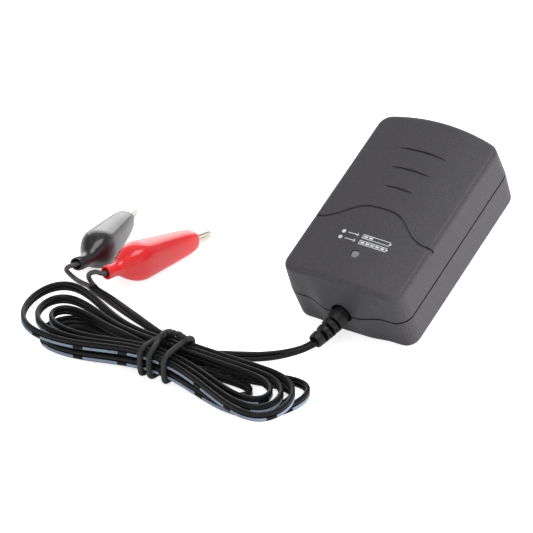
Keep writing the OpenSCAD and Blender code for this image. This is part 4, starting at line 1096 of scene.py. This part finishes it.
class CHARGER_OT_inside_finish(bpy.types.Operator):
    """Finish the pieces inside the housing, and the cad shapes that soft pieces stand for"""

    bl_idname = "charger.inside_finish"
    bl_label = "Inside finish"

    def execute(self, context):
        for name, (made_of, light, dark, patch, grain, depth, rough, metal) in INSIDE.items():
            material = plain_finish(made_of, linear(light), linear(dark), patch, grain, depth,
                rough, Metallic=float(metal))
            dress([name], material)
        stands = {"twin_lead": ["output_cord", "cord_hank", "cord_tail"],
            "wire_tie_wrap": ["wire_tie"], "relief_boot": ["strain_relief"],
            "red_inner_wire": ["inner_wires"],
            **{f"{c}_boot": [f"{c}_clip_boot"] for c in CLIPS},
            **{f"{c}_clip_lead": [f"{c}_lead"] for c in CLIPS}}
        for piece, names in stands.items():
            dress(names, bpy.data.objects[piece].data.materials[0])
        bare = [name for name, node in NODES.items()
            if not all(s.material and s.material.use_nodes for s in node.material_slots)]
        if bare:
            raise RuntimeError(f"these nodes have no finish: {bare}")
        return {"FINISHED"}


# ---- stage ----


def soft_lamp(name, place, aim, size, power):
    """A rectangular soft lamp at a place, aimed at a point, both in metres."""
    data = bpy.data.lights.new(name, "AREA")
    data.shape = "RECTANGLE"
    data.size, data.size_y = size
    data.energy = power
    back = unit(np.array(place, float) - np.array(aim, float))
    right = unit(np.cross([0.0, 0.0, 1.0], back))
    return stand(name, data, place, (right, np.cross(back, right), back))


class CHARGER_OT_stage(bpy.types.Operator):
    """Set out the white floor, the pale surroundings and the soft lamps"""

    bl_idname = "charger.stage"
    bl_label = "Stage"

    def execute(self, context):
        reach = 4000.0
        a = 2 * np.pi * np.arange(96) / 96
        ring = np.stack([np.cos(a), np.sin(a), 0 * a], 1)
        rings = np.stack([ring * r for r in (reach, reach * 0.5, 200.0, 20.0)])
        points, quads, tris = skin(rings)
        tris = tris[len(tris) // 2 :]
        floor = make_piece("studio_floor", (points, quads, tris), self.floor_material())
        floor.data.update()
        if floor.data.polygons[0].normal.z < 0:
            floor.data.flip_normals()
        world = bpy.data.worlds.new("Pale studio")
        context.scene.world = world
        world.use_nodes = True
        tree = world.node_tree
        tree.nodes.clear()
        rays = add(tree, "ShaderNodeLightPath")
        way = add(tree, "ShaderNodeTexCoord").outputs["Generated"]
        height = add(tree, "ShaderNodeSeparateXYZ", {"Vector": way}).outputs[2]
        # White wall low down that greys towards the ceiling, as seen in the shine of things.
        wall = add(tree, "ShaderNodeMapRange", {"Value": height, "From Min": 0.2,
            "From Max": 0.62, "To Min": 0.8, "To Max": 0.12})
        seen = add(tree, "ShaderNodeMath", {0: rays.outputs["Is Camera Ray"],
            1: rays.outputs["Is Transmission Ray"]}, operation="MAXIMUM")
        shown = add(tree, "ShaderNodeMix", {0: rays.outputs["Is Glossy Ray"], 2: 0.38,
            3: wall})
        strength = add(tree, "ShaderNodeMix", {0: seen, 2: shown, 3: 1.0})
        sky = add(tree, "ShaderNodeBackground", {"Color": (1, 1, 1, 1), "Strength": strength})
        add(tree, "ShaderNodeOutputWorld", {"Surface": sky})
        aim = (-0.04, 0.0, 0.01)
        soft_lamp("Overhead softbox", (0.1, 0.1, 1.3), aim, (0.8, 0.8), 7)
        soft_lamp("Back softbox", (-0.85, 1.3, 0.5), aim, (1.6, 1.0), 8.5)
        # The side lamp doesn't show in the shine, so the edge beside it stays dark.
        side = soft_lamp("Side softbox", (1.3, 0.5, 0.3), aim, (0.8, 0.5), 18)
        side.visible_glossy = False
        soft_lamp("Front window", (0.5, -1.3, 0.95), (-0.06, 0.0, 0.01), (0.12, 0.2), 3.2)
        soft_lamp("Second window", (0.1, -1.35, 0.8), (-0.06, 0.0, 0.01), (0.12, 0.16), 2.6)
        settings = context.scene.view_settings
        settings.view_transform = "Standard"
        return {"FINISHED"}

    def floor_material(self):
        """Material: seamless white paper. Matt and plain. What the camera and the shine of
        things see of it is lifted a little, so that it is white away from the shadow."""
        material, tree, place = start_material("Seamless white paper")
        tooth = add(tree, "ShaderNodeTexNoise",
            {"Vector": place, "Scale": 1000 / 1.5, "Detail": 2.0})
        bump = add(tree, "ShaderNodeBump", {"Strength": 0.2, "Distance": 0.02 * MM,
            "Height": tooth})
        paper = add(tree, "ShaderNodeBsdfDiffuse",
            {"Color": (0.9, 0.9, 0.9, 1), "Normal": bump})
        rays = add(tree, "ShaderNodeLightPath")
        shine = add(tree, "ShaderNodeMath", {0: rays.outputs["Is Glossy Ray"],
            1: rays.outputs["Is Transmission Ray"]}, operation="MAXIMUM")
        shine = add(tree, "ShaderNodeMath", {0: shine, 1: 0.15}, operation="MULTIPLY")
        amount = add(tree, "ShaderNodeMath", {0: rays.outputs["Is Camera Ray"], 1: 0.72,
            2: shine}, operation="MULTIPLY_ADD")
        glow = add(tree, "ShaderNodeEmission", {"Color": (1, 1, 1, 1), "Strength": amount})
        both = add(tree, "ShaderNodeAddShader", {0: paper, 1: glow})
        add(tree, "ShaderNodeOutputMaterial", {"Surface": both})
        return material


# ---- panel, registration and the run ----

STEPS = (CHARGER_OT_camera, CHARGER_OT_twin_lead, CHARGER_OT_clip_leads, CHARGER_OT_tie,
    CHARGER_OT_boots, CHARGER_OT_declare_cords, CHARGER_OT_strain_relief,
    CHARGER_OT_inner_wires, CHARGER_OT_pictograms, CHARGER_OT_housing_finish,
    CHARGER_OT_metal_finish, CHARGER_OT_inside_finish, CHARGER_OT_stage)


class CHARGER_PT_studio(bpy.types.Panel):
    """Buttons for each piece, and the sizes and colours that they use"""

    bl_idname = "CHARGER_PT_studio"
    bl_label = "Battery charger"
    bl_space_type = "VIEW_3D"
    bl_region_type = "UI"
    bl_category = "Charger"

    def draw(self, context):
        column = self.layout.column(align=True)
        for step in STEPS:
            column.operator(step.bl_idname)
        for group in (context.scene.charger_sizes, context.scene.charger_colours):
            box = self.layout.box()
            for key in group.__annotations__:
                box.prop(group, key)


CLASSES = (ChargerSizes, ChargerColours, *STEPS, CHARGER_PT_studio)


def register():
    for made in CLASSES:
        bpy.utils.register_class(made)
    bpy.types.Scene.charger_sizes = bpy.props.PointerProperty(type=ChargerSizes)
    bpy.types.Scene.charger_colours = bpy.props.PointerProperty(type=ChargerColours)


def unregister():
    del bpy.types.Scene.charger_colours
    del bpy.types.Scene.charger_sizes
    for made in reversed(CLASSES):
        bpy.utils.unregister_class(made)


def main():
    register()
    for step in STEPS:
        group, name = step.bl_idname.split(".")
        if getattr(getattr(bpy.ops, group), name)() != {"FINISHED"}:
            raise RuntimeError(f"{step.bl_label} did not finish")


if __name__ == "__main__":
    main()
